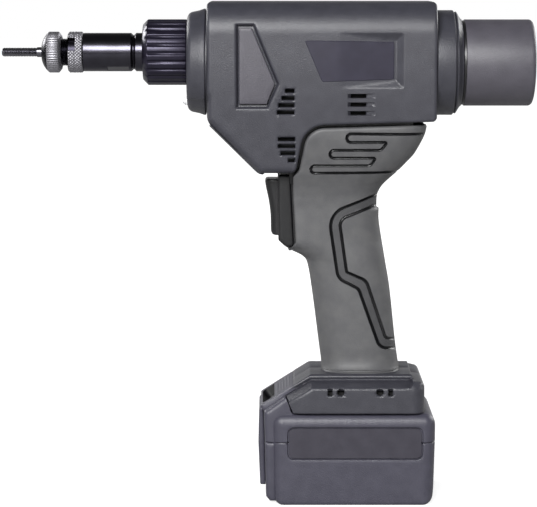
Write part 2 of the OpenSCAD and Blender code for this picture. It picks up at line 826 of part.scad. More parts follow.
module shell(sign) {
  difference() {
    intersection() {
      half(sign);
      union() {
        difference() {
          union() {
            head_solid();
            grip_solid(skin);
          }
          head_solid(wall);
          grip_solid(skin + wall);
        }
        foot_solid();
        intersection() {
          head_solid(wall / 2);
          difference() {
            union() {
              for (x = rib_places) bar([x - rib_t / 2, -head_w, belly_z], [x + rib_t / 2, head_w, head_top]);
              for (s = head_screws) pin_y(s[0], s[1], -head_w, head_w, screw_boss_r);
            }
            drive_room();
          }
        }
        intersection() {
          grip_solid(skin + wall / 2);
          union() {
            difference() {
              grip_ribs();
              switch_place(fit);
              board_place(fit);
            }
            for (s = grip_screws) pin_y(s[0], s[1], -head_w, head_w, screw_boss_r);
          }
        }
      }
    }
    rod(case_x1, motor_x1 + free, motor_r + free, pinion_z);
    foot_hollow();
    trigger_opening();
    switch_place(fit);
    hook_holes();
    vents();
    louvres(sign);
    panel_pocket(sign);
    label_pocket(sign);
    label_seat(sign, fit);
    rod(head_front - overrun, case_x0 + overrun, hub_r + fit);
    rod(head_x1 - wall - overrun, head_x1 + overrun, spigot_r + fit, main_z);
    if (sign > 0) {
      for (s = all_screws) {
        pin_y(s[0], s[1], screw_seat_y, head_w, screw_head_r + fit);
        pin_y(s[0], s[1], -overrun, head_w, screw_shank_r + fit);
      }
    }
    else {
      for (s = all_screws) pin_y(s[0], s[1], -screw_depth - fit, overrun, screw_shank_r + fit);
    }
  }
}

module left_shell() { color(plastic) shell(-1); }
module right_shell() { color(plastic) shell(1); }

// Soft skin over the handle, from the foot's crown up to the seam under the head
module grip(sign) {
  color(soft) difference() {
    intersection() {
      half(sign);
      grip_solid();
    }
    grip_solid(skin);
    head_solid(-seam_gap);
    bar([-grip_d, -foot_w, 0], [2 * grip_d, foot_w, crown_z]);
    bezel_block(fit);
    if (sign > 0) for (s = grip_screws) pin_y(s[0], s[1], 0, head_w, screw_head_r + 2 * fit);
  }
}

module left_grip() { grip(-1); }
module right_grip() { grip(1); }

// Screws from the right half into the left half
module housing_screws() {
  color(grey_steel) for (s = all_screws) {
    difference() {
      pin_y(s[0], s[1], screw_seat_y, screw_seat_y + screw_head_h, screw_head_r);
      pin_y(s[0], s[1], screw_seat_y + screw_head_h / 2, screw_seat_y + screw_head_h + overrun,
        screw_head_r / 2);
    }
    pin_y(s[0], s[1], -screw_depth, screw_seat_y, screw_shank_r);
  }
}

light_z = 257.7;
light_l = 6;
module front_cover() {
  color(plastic) difference() {
    turned([[cover_x0, 0], [cover_x0, cover_front_r], [head_front - fit, cover_rear_r],
      [head_front - fit, 0]], main_z);
    rod(cover_x0 - overrun, head_front + overrun, hub_r + fit);
    rod(cover_x0 - overrun, cover_x0 + light_l + fit, light_r + fit, light_z);
  }
}

module work_light() {
  color(clear) {
    rod(cover_x0, cover_x0 + light_l, light_r, light_z);
    intersection() {
      translate([cover_x0, 0, light_z]) sphere(r = light_r);
      bar([cover_x0 - light_r, -light_r, light_z - light_r], [cover_x0, light_r, light_z + light_r]);
    }
  }
}

module panel(sign) {
  y = head_w / 2;
  edge = inset(panel_corners, panel_rim + panel_groove);
  color(plastic) scale([1, sign, 1])
    side(rounded(edge), y - panel_depth - panel_t, y - panel_depth + panel_t / 2);
}

module left_side_panel() { panel(-1); }
module right_side_panel() { panel(1); }
module left_label_plate() { color(plate_black) label_seat(-1, 0); }
module right_label_plate() { color(plate_black) label_seat(1, 0); }

module rear_flange() {
  rim_x = head_x1 + flange_l;
  color(plastic) difference() {
    turned([[head_x1 - spigot_l, 0], [head_x1 - spigot_l, spigot_r], [head_x1 + fit, spigot_r],
      [head_x1 + fit, flange_r], [rim_x, flange_r], [rim_x + flange_cone, cap_r], [rim_x + flange_cone, 0]],
      main_z);
    rod(head_x1 - spigot_l - overrun, flange_step, flange_bore_r, main_z);
    rod(flange_step - overrun, rim_x + flange_cone + overrun, cap_neck_r + fit, main_z);
  }
}

module rear_cap() {
  color(plastic) difference() {
    turned([[flange_step + free, 0], [flange_step + free, cap_neck_r], [cap_x0, cap_neck_r], [cap_x0, cap_r],
      [cap_x1 - cap_corner_r, cap_r],
      [cap_x1 - cap_corner_r * cap_round_share, cap_r - cap_corner_r * cap_round_share],
      [cap_x1, cap_r - cap_corner_r], [cap_x1, 0]], main_z);
    rod(flange_step, cap_x1 - cap_wall, cap_neck_r - cap_wall, main_z);
  }
}

// Nose

module mandrel() {
  color(black_steel) {
    tip = mandrel_r / 3;
    turned([[mandrel_tip, 0], [mandrel_tip, mandrel_r - tip], [mandrel_tip + tip, mandrel_r],
      [nosepiece_x0 - shank_r, mandrel_r], [nosepiece_x0 - shank_r, shank_r],
      [chuck_x0 + mandrel_in, shank_r],
      [chuck_x0 + mandrel_in, 0]]);
  }
}

bush_r = 5.6;
module anvil_bush() {
  color(black_steel) tube(nosepiece_x0, nosepiece_x1 - nosepiece_l / 2 - fit, bush_r, shank_r + free);
}

module nosepiece() {
  chamfer = nosepiece_cone / 4;
  color(grey_steel) difference() {
    turned([[nosepiece_x0, 0], [nosepiece_x0, nosepiece_flat_r],
      [nosepiece_x0 + nosepiece_cone / 2, (nosepiece_flat_r + 2 * nosepiece_r) / 3],
      [nosepiece_x0 + nosepiece_cone, nosepiece_r],
      [nosepiece_x1 - chamfer, nosepiece_r], [nosepiece_x1, nosepiece_r - chamfer], [nosepiece_x1, 0]]);
    rod(nosepiece_x0 - overrun, nosepiece_x1 + overrun, bush_r + run);
    rod(neck_x0 - free, nosepiece_x1 + overrun, neck_r + run);
  }
}

notch_w = 8;
notch_l = 3.7;
notch_d = 2;
notch_turn = 34;
module lock_ring() {
  chamfer = lock_l / 5;
  color(grey_steel) difference() {
    turned([[lock_x0, 0], [lock_x0, lock_r - chamfer], [lock_x0 + chamfer, lock_r],
      [barrel_x0 - fit - chamfer / 4, lock_r], [barrel_x0 - fit, lock_r - chamfer / 4],
      [barrel_x0 - fit, 0]]);
    rod(lock_x0 - overrun, barrel_x0 + overrun, neck_r + run);
    for (a = [0, 180]) translate([0, 0, nose_z]) rotate([a - notch_turn, 0, 0])
      bar([lock_x0 - overrun, -lock_r - overrun, -notch_w / 2],
        [lock_x0 + notch_l, notch_d - lock_r, notch_w / 2]);
  }
}

groove_share = 0.84;
groove_w = 1.2;
groove_d = 0.6;
flat_share = 0.45;
flat_l = 13;
flat_depth = 0.8;
flat_turn = 68;
module nose_barrel() {
  gx = barrel_x0 + barrel_l * groove_share;
  color(black_steel) difference() {
    turned([[neck_x0, 0], [neck_x0, neck_r], [barrel_x0, neck_r], [barrel_x0, barrel_r],
      [gx - groove_w, barrel_r], [gx, barrel_r - groove_d], [gx + groove_w, barrel_r],
      [barrel_x1, barrel_r], [barrel_x1, 0]]);
    rod(neck_x0 - overrun, barrel_x1 + overrun, bore_r);
    for (a = [0, 180]) translate([0, 0, nose_z]) rotate([a + flat_turn, 0, 0])
      bar([barrel_x0 + barrel_l * flat_share, -2 * barrel_r, -barrel_r],
        [barrel_x0 + barrel_l * flat_share + flat_l, flat_depth - barrel_r, barrel_r]);
  }
}

flute_r = 1.9;
flute_d = 0.8;
module fluted_collar() {
  color(anodised) difference() {
    turned([[collar_x0, 0], [collar_x0, collar_r - 2 * collar_cone], [collar_x0 + collar_cone, collar_r],
      [collar_x1, collar_r], [collar_x1, 0]]);
    rod(collar_x0 - overrun, collar_x0 + collar_cone + overrun, barrel_r + free);
    rod(collar_x0 + collar_cone, collar_x1 + overrun, hub_r + run);
    for (k = [1:collar_flutes]) translate([0, 0, nose_z]) rotate([360 * k / collar_flutes, 0, 0])
      rod(collar_x0 - overrun, collar_x1 + overrun, flute_r, collar_r + flute_r - flute_d);
  }
}

// Pull line

module mandrel_chuck() {
  color(grey_steel) difference() {
    union() {
      rod(chuck_x0, chuck_x1, chuck_r);
      rod(chuck_x1 - chuck_flange_l, chuck_x1, chuck_flange_r);
    }
    rod(chuck_x0 - overrun, chuck_x0 + mandrel_in + fit, shank_r + fit / 2);
    translate([chuck_x1 - socket_l, 0, nose_z]) rotate([0, 90, 0])
      cylinder(h = socket_l + overrun, r = hex_r + free, $fn = 6);
  }
}

module chuck_retainer() {
  x1 = chuck_x1 - chuck_flange_l - fit;
  color(grey_steel) tube(cup_x0, x1, cup_r - case_wall_t - fit, chuck_r + run);
}

module pull_screw() {
  color(bright_steel) difference() {
    union() {
      rod(cup_x0, cup_x1, cup_r);
      rod(cup_x1, screw_tail, screw_r);
    }
    rod(cup_x0 - overrun, cup_x1 - cup_floor, cup_r - case_wall_t);
    rod(cup_x0, screw_tail + overrun, hex_bore_r);
    bar([screw_tail - keyway_l, -key_w / 2, nose_z + screw_r - key_h], [screw_tail + overrun, key_w / 2,
      nose_z + screw_r + overrun]);
  }
}

module screw_guide() {
  color(brass) {
    tube(guide_x0, guide_x0 + guide_l, guide_r, screw_r + run);
    bar([guide_x0, run - key_w / 2, nose_z + screw_r - key_h + run],
      [guide_x0 + guide_l, key_w / 2 - run, nose_z + screw_r + 2 * run]);
  }
}

module ball_nut() {
  color(bright_steel) difference() {
    union() {
      rod(nut_x0, gear_x0, nut_flange_r);
      rod(gear_x0, nut_x1, nut_r);
    }
    rod(nut_x0 - overrun, nut_x1 + overrun, screw_r + run);
  }
}

module nut_gear() {
  color(grey_steel) difference() {
    gear(nut_teeth, gear_module, gear_x0, gear_x1);
    rod(gear_x0 - overrun, gear_x1 + overrun, nut_r + fit / 2);
  }
}

module thrust_bearing() {
  ring_r = (screw_r + nut_flange_r) / 2 + fit;
  color(bright_steel) {
    tube(thrust_x0, thrust_x0 + washer_t, nut_flange_r, screw_r + free);
    tube(nut_x0 - washer_t, nut_x0 - fit / 2, nut_flange_r, screw_r + free);
    for (k = [1:thrust_ball_count]) translate([0, 0, nose_z]) rotate([360 * k / thrust_ball_count, 0, 0])
      translate([thrust_x0 + washer_t + ball_r + fit / 4, ring_r, 0]) sphere(r = ball_r);
  }
}

bearing_x0 = case_x1 - overrun - bearing_l;
module nut_bearing() {
  ring_r = (nut_r + bearing_r) / 2;
  color(bright_steel) {
    tube(bearing_x0, bearing_x0 + bearing_l, nut_r + race_t, nut_r + fit / 2);
    tube(bearing_x0, bearing_x0 + bearing_l, bearing_r - fit, bearing_r - race_t);
    for (k = [1:bearing_ball_count]) translate([0, 0, nose_z]) rotate([360 * k / bearing_ball_count, 0, 0])
      translate([bearing_x0 + bearing_l / 2, ring_r, 0]) sphere(r = small_ball_r);
  }
}

// The gear case's two round chambers, grown by d
module gear_room(x0, x1, lobe_x, d) {
  rod(x0, x1, nut_case_r + d);
  rod(lobe_x, x1, pinion_case_r + d, pinion_z);
  bar([lobe_x, -pinion_case_r - d, pinion_z], [x1, pinion_case_r + d, nose_z]);
}

module gear_case_front() {
  color(bright_steel) difference() {
    union() {
      gear_room(case_x0, case_split_x, lobe_x0, case_wall_t);
      rod(hub_front, case_x0 + overrun, hub_r);
    }
    gear_room(thrust_x0, case_split_x + overrun, gear_x0 - overrun, 0);
    rod(hub_front - overrun, thrust_x0 + overrun, hub_bore_r);
    rod(lobe_x0 + overrun, gear_x0, pinion_stub_r + run, pinion_z);
  }
}

module gear_case_rear() {
  color(bright_steel) difference() {
    gear_room(case_split_x, case_x1, case_split_x, case_wall_t);
    rod(case_split_x - overrun, case_x1 - overrun, bearing_r);
    rod(case_x1 - 2 * overrun, case_x1 + overrun, nut_r + 2 * free);
    rod(case_split_x - overrun, case_x1 + overrun, pinion_shaft_r + run, pinion_z);
  }
}

module drive_pinion() {
  color(grey_steel) {
    gear(pinion_teeth, gear_module, gear_x0, gear_x1, pinion_z);
    rod(lobe_x0 + 2 * overrun, gear_x0, pinion_stub_r, pinion_z);
    rod(gear_x1, gearbox_x0 + plate_t, pinion_shaft_r, pinion_z);
  }
}

module pull_gearbox() {
  color(bright_steel) difference() {
    rod(gearbox_x0, motor_x0 - fit, gearbox_r, pinion_z);
    rod(gearbox_x0 - overrun, gearbox_x0 + plate_t + fit, pinion_shaft_r + run, pinion_z);
  }
}

module pull_motor() {
  boss_l = plate_t / 2;
  color(grey_steel) difference() {
    union() {
      rod(motor_x0, motor_x1 - boss_l, motor_r, pinion_z);
      rod(motor_x1 - boss_l, motor_x1, motor_r / 3, pinion_z);
    }
    for (a = [45:90:315]) translate([0, 0, pinion_z]) rotate([a, 0, 0])
      rod(motor_x1 - 3 * boss_l, motor_x1 + overrun, boss_l, motor_r * 2 / 3);
  }
}

// Spin drive

module hex_shaft() {
  color(bright_steel) translate([hex_front, 0, nose_z]) rotate([0, 90, 0])
    cylinder(h = carrier_x1 - hex_front - fit, r = hex_r, $fn = 6);
}

module planet_carrier() {
  color(grey_steel) {
    difference() {
      union() {
        rod(carrier_x0, carrier_x1, carrier_r);
        rod(carrier_x0 - carrier_hub_l, carrier_x0, carrier_hub_r);
      }
      translate([carrier_x0 - carrier_hub_l - overrun, 0, nose_z]) rotate([0, 90, 0])
        cylinder(h = carrier_hub_l + carrier_t + overrun - fit / 2, r = hex_r + fit, $fn = 6);
    }
    for (k = [0:planet_count - 1]) translate([0, 0, nose_z]) rotate([360 * k / planet_count, 0, 0])
      translate([0, planet_ring_r, 0]) rod(carrier_x1, teeth_x0 + teeth_l, planet_pin_r, 0);
  }
}

module planet_gear(k) {
  a = 360 * k / planet_count;
  turn = a + 180 - 180 / planet_teeth + a * sun_teeth / planet_teeth;
  color(brass) difference() {
    gear(planet_teeth, planet_module, teeth_x0, teeth_x0 + teeth_l, nose_z + planet_ring_r * sin(a),
      planet_ring_r * cos(a), turn);
    rod(teeth_x0 - overrun, bracket_x0, planet_pin_r + run, nose_z + planet_ring_r * sin(a),
      planet_ring_r * cos(a));
  }
}

module planet_gear_1() { planet_gear(0); }
module planet_gear_2() { planet_gear(1); }
module planet_gear_3() { planet_gear(2); }

module sun_gear() {
  color(brass) difference() {
    gear(sun_teeth, planet_module, teeth_x0, teeth_x0 + teeth_l);
    rod(teeth_x0 - overrun, bracket_x0, rotor_shaft_r + fit / 2);
  }
}

module ring_gear() {
  color(grey_steel) difference() {
    rod(ring_x0, bracket_x0, ring_r);
    rod(ring_x0 - overrun, teeth_x0, carrier_r + free);
    translate([0, 0, nose_z]) rotate([180 / ring_teeth, 0, 0])
      along(gear_outline(ring_teeth, planet_module, planet_module * tooth_root_share,
        planet_module * tooth_top_share, -backlash), teeth_x0 - overrun, bracket_x0 + overrun);
  }
}

module gearbox_cover() {
  color(bright_steel) tube(ring_x0 - cover_plate_t, ring_x0, ring_r, carrier_hub_r + run);
}

module motor_bracket() {
  color(bright_steel) difference() {
    rod(bracket_x0, flange_step, flange_bore_r - fit, main_z);
    rod(bracket_x0 - overrun, flange_step + overrun, motor_boss_r + fit);
  }
}

module spin_motor() {
  color(grey_steel) difference() {
    union() {
      rod(spin_x0, spin_x1, spin_motor_r);
      rod(bracket_x0, spin_x0, motor_boss_r);
    }
    rod(spin_x0 + can_t, spin_x1 - can_t, spin_motor_r - can_t);
    rod(bracket_x0 - overrun, spin_x1 + overrun, rotor_shaft_r + run);
  }
}

module spin_rotor() {
  color(copper) {
    rod(teeth_x0, spin_x1, rotor_shaft_r);
    rod(spin_x0 + 3 * can_t, spin_x1 - 4 * can_t, armature_r);
  }
}

// Trigger

bezel_slope_run = 5.5;
bezel_corner_r = 2.5;
bezel_corners = [
  [bezel_x0 + bezel_slope_run, bezel_z0, bezel_corner_r],
  [bezel_x1, bezel_z0, 0],
  [bezel_x1, bezel_z1, 0],
  [bezel_x0, bezel_z1, 0],
  [bezel_x0, bezel_z0 + bezel_slope_run, bezel_corner_r]
];
module bezel_block(room = 0) {
  side(rounded(inset(bezel_corners, -room)), -bezel_hw - room, bezel_hw + room);
}

module trigger_bezel() {
  color(dark_plastic) difference() {
    bezel_block();
    grip_solid(skin - fit);
    trigger_opening();
  }
}

trigger_corner_r = 1.6;
trigger_corners = [
  [bezel_x0 - trigger_low_d, trigger_z0, trigger_corner_r],
  [bezel_x0 + trigger_block_l, trigger_z0, 0],
  [bezel_x0 + trigger_block_l, trigger_z1, 0],
  [bezel_x0 - trigger_top_d, trigger_z1, trigger_corner_r],
  [bezel_x0 - trigger_low_d, stem_z, trigger_h]
];
module trigger() {
  color(dark_plastic) {
    side(rounded(trigger_corners), -trigger_w / 2, trigger_w / 2);
    rod(bezel_x0 + trigger_block_l, bezel_x0 + trigger_block_l + stem_l, stem_r, stem_z);
  }
}

module trigger_switch() {
  color(dark_plastic) difference() {
    switch_place();
    rod(switch_x0 - overrun, switch_x0 + stem_l + trigger_travel, stem_r + free, stem_z);
  }
}

module trigger_spring() {
  x0 = bezel_x0 + trigger_block_l + spring_wire_r + fit;
  length = switch_x0 - x0 - spring_wire_r - fit;
  color(bright_steel) translate([x0, 0, stem_z]) rotate([0, 90, 0])
    wire(spring_r, spring_wire_r, length, spring_turns);
}

module control_board() {
  chip = board_d / 4;
  color(board_green) {
    board_place();
    translate([board_x, 0, board_z]) rotate([0, -board_lean, 0])
      for (s = board_chip_shares) bar([-chip, board_y0 + board_t, s * board_l], [chip, board_y0 + 2 * board_t,
        s * board_l + chip]);
  }
}

module terminal_block() {
  color(dark_plastic) bar([block_x0, -block_hw, tongue_z1 + 2 * free], [block_x1, block_hw, block_z1 - fit]);
}

function blade_y(k) = (k - (blade_count - 1) / 2) * blade_pitch;
module terminal_blades() {
  color(copper) for (k = [0:blade_count - 1])
    bar([blade_x0, blade_y(k) - blade_t / 2, slot_floor + 2 * overrun],
      [blade_x0 + blade_l, blade_y(k) + blade_t / 2, tongue_z1 + 2 * free]);
}

// Battery

// Side outline of the case below the tool, with its long rear shoulder
shoulder_run = 7;
shoulder_fall = 8;
case_corners = [
  [-case_x, 0, case_corner_r],
  [case_x, 0, case_corner_r],
  [case_x, case_h - shoulder_fall, 0],
  [case_x - shoulder_run, case_h, 0],
  [-case_x, case_h, 0]
];
case_edge_r = 4;

module case_solid(d = 0) {
  hw = case_w / 2 - d;
  intersection() {
    side(rounded(inset(case_corners, d)), -hw, hw);
    along(rounded(box_corners(-hw, d, hw, case_h - d, case_edge_r - d)), -case_x, case_x);
  }
}

// The stepped front of the case, under the release button
module front_steps() {
  bar([-case_x - front_step, -front_step_hw, front_step_z0], [case_wall - case_x, front_step_hw, case_h]);
}

// The raised front that meets the foot, with a crown as wide as the foot's
module hump() {
  x0 = -case_x - front_step;
  crown = [[x0, case_h - overrun], [hump_x1, case_h - overrun], [hump_x1, hump_z], [x0, hump_front_z]];
  low = [[x0, case_h - overrun], [hump_x1, case_h - overrun], [hump_x1, hump_z - hump_fall],
    [x0, hump_front_z - hump_fall]];
  side(crown, -crown_hw, crown_hw);
  side(low, -hump_shoulder_hw, hump_shoulder_hw);
}

module tongue() {
  difference() {
    union() {
      bar([hump_x1 - overrun, -tongue_neck_hw, case_h - overrun], [tongue_x1, tongue_neck_hw, tongue_z1]);
      bar([tongue_x0, -tongue_hw, case_h + tongue_neck_h], [tongue_x1, tongue_hw, tongue_z1]);
    }
    for (k = [0:blade_count - 1]) bar([blade_x0 - free, blade_y(k) - slot_w / 2, slot_floor],
      [tongue_x1 + overrun, blade_y(k) + slot_w / 2, tongue_z1 + overrun]);
  }
}

// The slot in the case's front that the release button's tab moves in
module tab_slot() {
  bar([-case_x - front_step - overrun, -button_tab_hw - free,
    button_tab_z - button_travel - button_spring_shut],
    [case_wall - case_x + 2 * overrun, button_tab_hw + free, button_tab_z + button_tab_t + free]);
}

label_recess_d = 0.5;
label_recess_margin = 9;
label_recess_z0 = 29.5;
label_recess_z1 = 51.5;
label_recess_r = 4;
module case_label(sign) {
  y = case_w / 2;
  scale([1, sign, 1]) side(rounded(box_corners(label_recess_margin - case_x, label_recess_z0,
    case_x - label_recess_margin, label_recess_z1, label_recess_r)), y - label_recess_d, y + overrun);
}

module battery_shell() {
  difference() {
    union() {
      case_solid();
      front_steps();
      hump();
      tongue();
    }
    case_solid(case_wall);
    tab_slot();
    case_label(-1);
    case_label(1);
  }
}

case_screw_share = 1.5;
case_screw_l = 5;
case_screws = [for (x = [-1, 1], y = [-1, 1]) [x * cell_pitch * case_screw_share, y * holder_y]];
module battery_lower_case() {
  color(plastic) difference() {
    intersection() {
      battery_shell();
      bar([-reach, -reach, 0], [reach, reach, case_split]);
    }
    for (s = case_screws) translate([s[0], s[1], -overrun])
      cylinder(h = case_wall + 2 * overrun, r = screw_shank_r + fit);
    for (s = case_screws) translate([s[0], s[1], -overrun])
      cylinder(h = overrun + case_wall / 2, r = screw_head_r + fit);
  }
}

module battery_upper_case() {
  color(plastic) intersection() {
    battery_shell();
    bar([-reach, -reach, case_split], [reach, reach, reach]);
  }
}

module battery_screws() {
  color(grey_steel) for (s = case_screws) translate([s[0], s[1], 0]) {
    translate([0, 0, case_wall / 8]) cylinder(h = case_wall * 3 / 8, r = screw_head_r);
    translate([0, 0, case_wall / 2]) cylinder(h = case_screw_l, r = screw_shank_r);
  }
}

function cell_x(k) = (k - (cell_columns - 1) / 2) * cell_pitch;
module each_cell() {
  for (k = [0:cell_columns - 1], row = [0, 1])
    translate([cell_x(k), 0, layer_z1 + row * layer_pitch]) children();
}

module battery_cells() {
  color(cell_blue) each_cell() rotate([90, 0, 0]) cylinder(h = cell_l, r = cell_r, center = true);
}

module cell_holder() {
  color(dark_plastic) for (s = [-1, 1]) difference() {
    intersection() {
      bar([-holder_l / 2, s * holder_y - holder_t / 2, case_wall],
        [holder_l / 2, s * holder_y + holder_t / 2, holder_h]);
      case_solid(case_wall + fit);
    }
    each_cell() rotate([90, 0, 0]) cylinder(h = case_w, r = cell_r + fit, center = true);
    for (c = case_screws) translate([c[0], c[1], 0])
      cylinder(h = case_wall / 2 + case_screw_l + fit, r = screw_shank_r + fit / 2);
  }
}

module cell_straps() {
  strap_h = cell_r;
  color(bright_steel) for (s = [-1, 1], row = [0, 1])
    translate([0, s * (cell_l / 2 + strap_t / 2), layer_z1 + row * layer_pitch])
      cube([holder_l - 2 * cell_r, strap_t, strap_h], center = true);
}

module battery_board() {
  hw = case_w / 2 - 2 * case_wall - overrun;
  chip = board_t * 4;
  color(board_green) {
    bar([-holder_l / 2, -hw, holder_h], [holder_l / 2, hw, holder_h + board_t]);
    for (x = [-1, 0, 1]) bar([x * 3 * chip - chip, -chip, holder_h + board_t], [x * 3 * chip + chip, chip,
      holder_h + 2 * board_t]);
  }
}

module contact_clips() {
  w = blade_t / 2 + clip_gap;
  x1 = blade_x0 + blade_l - overrun;
  color(copper) for (k = [0:blade_count - 1]) {
    bar([blade_x0 + overrun, blade_y(k) - w - clip_leaf_t, slot_floor], [x1, blade_y(k) + w + clip_leaf_t,
      slot_floor + clip_leaf_t]);
    for (s = [-1, 1]) bar([blade_x0 + overrun, blade_y(k) + (s < 0 ? -w - clip_leaf_t : w), slot_floor],
      [x1, blade_y(k) + (s < 0 ? -w : w + clip_leaf_t), tongue_z1 - overrun]);
  }
}

module release_button() {
  x1 = -case_x - front_step - fit;
  color(dark_plastic) {
    side(rounded(box_corners(x1 - button_t, button_z0, x1, button_z1, button_t / 3)), -button_hw, button_hw);
    bar([x1 - overrun, -button_tab_hw, button_tab_z], [x1 + button_tab_l, button_tab_hw,
      button_tab_z + button_tab_t]);
  }
}

button_spring_r = 2.5;
button_spring_turns = 3;
module button_spring() {
  x = -case_x - front_step + button_tab_l / 2;
  z0 = button_tab_z - button_travel - button_spring_shut;
  color(bright_steel) translate([x, 0, z0 + spring_wire_r + fit])
    wire(button_spring_r, spring_wire_r, button_tab_z - z0 - 2 * spring_wire_r - 2 * fit,
      button_spring_turns);
}

left_shell();
right_shell();
left_grip();
right_grip();
front_cover();
work_light();
rear_flange();
rear_cap();
left_side_panel();
right_side_panel();
left_label_plate();
right_label_plate();
housing_screws();
mandrel();
anvil_bush();
nosepiece();
lock_ring();
nose_barrel();
fluted_collar();
mandrel_chuck();
chuck_retainer();
pull_screw();
ball_nut();
nut_gear();
thrust_bearing();
nut_bearing();
gear_case_front();
gear_case_rear();
screw_guide();
drive_pinion();
pull_gearbox();
pull_motor();
hex_shaft();
planet_carrier();
planet_gear_1();
planet_gear_2();
planet_gear_3();
sun_gear();
ring_gear();
gearbox_cover();
motor_bracket();
spin_motor();
spin_rotor();
trigger();
trigger_bezel();
trigger_switch();
trigger_spring();
control_board();
terminal_block();
terminal_blades();
battery_lower_case();
battery_upper_case();
battery_cells();
cell_holder();
cell_straps();
battery_board();
contact_clips();
release_button();
button_spring();
battery_screws();
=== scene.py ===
import json
import math

import bpy
import numpy as np
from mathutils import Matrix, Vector
from mathutils.geometry import delaunay_2d_cdt


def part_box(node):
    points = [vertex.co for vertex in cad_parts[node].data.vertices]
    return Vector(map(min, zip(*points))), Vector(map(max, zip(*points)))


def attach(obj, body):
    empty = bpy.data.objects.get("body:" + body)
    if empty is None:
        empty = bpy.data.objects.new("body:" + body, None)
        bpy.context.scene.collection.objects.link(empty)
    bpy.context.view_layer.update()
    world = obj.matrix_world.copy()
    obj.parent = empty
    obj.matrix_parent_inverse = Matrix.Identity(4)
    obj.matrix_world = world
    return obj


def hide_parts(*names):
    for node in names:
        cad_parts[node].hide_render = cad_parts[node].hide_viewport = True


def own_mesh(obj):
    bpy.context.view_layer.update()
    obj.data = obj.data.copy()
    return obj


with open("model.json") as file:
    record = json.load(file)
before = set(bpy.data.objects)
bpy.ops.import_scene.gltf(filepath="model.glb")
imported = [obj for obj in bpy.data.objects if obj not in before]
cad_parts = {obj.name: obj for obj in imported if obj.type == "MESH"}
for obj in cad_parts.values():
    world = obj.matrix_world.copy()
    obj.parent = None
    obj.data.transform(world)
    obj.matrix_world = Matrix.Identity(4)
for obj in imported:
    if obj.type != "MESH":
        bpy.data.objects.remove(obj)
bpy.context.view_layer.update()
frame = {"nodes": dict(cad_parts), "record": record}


# Housing head: the left and right mouldings that carry the drive line.
# Glass-filled nylon, injection moulded, with a spark-eroded grain.
# Each half is a surface over its side outline, 2.2 mm thick, and the halves meet at Y = 0.

def rgb(code):
    """A colour written as sRGB hex, as linear values."""
    parts = [int(code[i:i + 2], 16) / 255 for i in (1, 3, 5)]
    return [c / 12.92 if c < 0.04045 else ((c + 0.055) / 1.055) ** 2.4 for c in parts] + [1]


def add(material, kind, settings, links):
    """A node of a material, with its settings and the outputs that feed its inputs."""
    tree = material.node_tree
    node = tree.nodes.new(kind)
    for key, value in settings.items():
        if key in node.inputs:
            node.inputs[key].default_value = value
        else:
            setattr(node, key, value)
    for key, source in links.items():
        tree.links.new(source, node.inputs[key])
    return node


def finish_of(name, dark, light, roughness, grain_mm, grain_depth, metallic=0.0, **surface):
    """A surface of two close shades in soft patches, with a fine raised grain."""
    patch_mm = 9.0
    material = bpy.data.materials.new(name)
    material.use_nodes = True
    material.node_tree.nodes.clear()
    place = add(material, "ShaderNodeTexCoord", {}, {}).outputs["Object"]
    patches = add(material, "ShaderNodeTexNoise", {"Scale": 1000 / patch_mm, "Detail": 3.0},
                  {"Vector": place})
    shades = add(material, "ShaderNodeValToRGB", {}, {"Fac": patches.outputs["Fac"]})
    shades.color_ramp.elements[0].position = 0.35
    shades.color_ramp.elements[1].position = 0.65
    shades.color_ramp.elements[0].color = rgb(dark)
    shades.color_ramp.elements[1].color = rgb(light)
    grain = add(material, "ShaderNodeTexNoise", {"Scale": 1000 / grain_mm, "Detail": 2.0}, {"Vector": place})
    bump = add(material, "ShaderNodeBump", {"Strength": 1.0, "Distance": grain_depth / 1000},
               {"Height": grain.outputs["Fac"]})
    shader = add(material, "ShaderNodeBsdfPrincipled",
                 {"Roughness": roughness, "Metallic": metallic, **surface},
                 {"Base Color": shades.outputs["Color"], "Normal": bump.outputs["Normal"]})
    add(material, "ShaderNodeOutputMaterial", {}, {"Surface": shader.outputs["BSDF"]})
    return material


# Glass-filled nylon, spark-eroded: a dry dark grey, its grain coarsened from 0.5 mm to 0.6 mm to show
nylon = finish_of("glass_filled_nylon_spark_eroded", "#2d2d34", "#33333a", 0.42, 0.6, 0.15)
# Nylon painted near black, a painted shade, for the ribs and bosses inside: matt, so that it reads as shade
painted_shade_nylon = finish_of("nylon_painted_shade_matt", "#070708", "#0b0b0c", 0.85, 0.5, 0.02)
# Dark nylon of the trigger and its bezel: near black, with a satin sheen; also painted as shade on the
# handle's core, the floors of the grip's cuts, the thumb hollow and the rear cap's neck
dark_nylon_and_shade = finish_of("dark_nylon_satin_and_painted_shade", "#0c0c0e", "#111113", 0.34, 0.5, 0.008)


def rounded(corners, steps=6):
    """A closed outline through [x, z, radius] corners, with each corner an arc."""
    out = []
    for i, (x, z, r) in enumerate(corners):
        here = np.array([x, z], float)
        back = np.array(corners[i - 1][:2], float) - here
        on = np.array(corners[(i + 1) % len(corners)][:2], float) - here
        if r == 0:
            out.append(here)
            continue
        back /= np.linalg.norm(back)
        on /= np.linalg.norm(on)
        half = math.acos(np.clip(back @ on, -1, 1)) / 2
        middle = here + (back + on) / np.linalg.norm(back + on) * r / math.sin(half)
        first = here + back * r / math.tan(half) - middle
        turn = np.sign(back[0] * on[1] - back[1] * on[0]) * -(math.pi - 2 * half)
        for k in range(steps + 1):
            c, s = math.cos(turn * k / steps), math.sin(turn * k / steps)
            out.append(middle + np.array([c * first[0] - s * first[1], s * first[0] + c * first[1]]))
    return np.array(out)


def spaced(line, step, closed):
    """The same line with a point at least every step."""
    line = np.asarray(line, float)
    ends = np.roll(line, -1, 0) if closed else line[1:]
    out = []
    for a, b in zip(line, ends):
        n = max(1, math.ceil(np.linalg.norm(b - a) / step))
        out += [a + (b - a) * k / n for k in range(n)]
    return np.array(out if closed else out + [line[-1]])


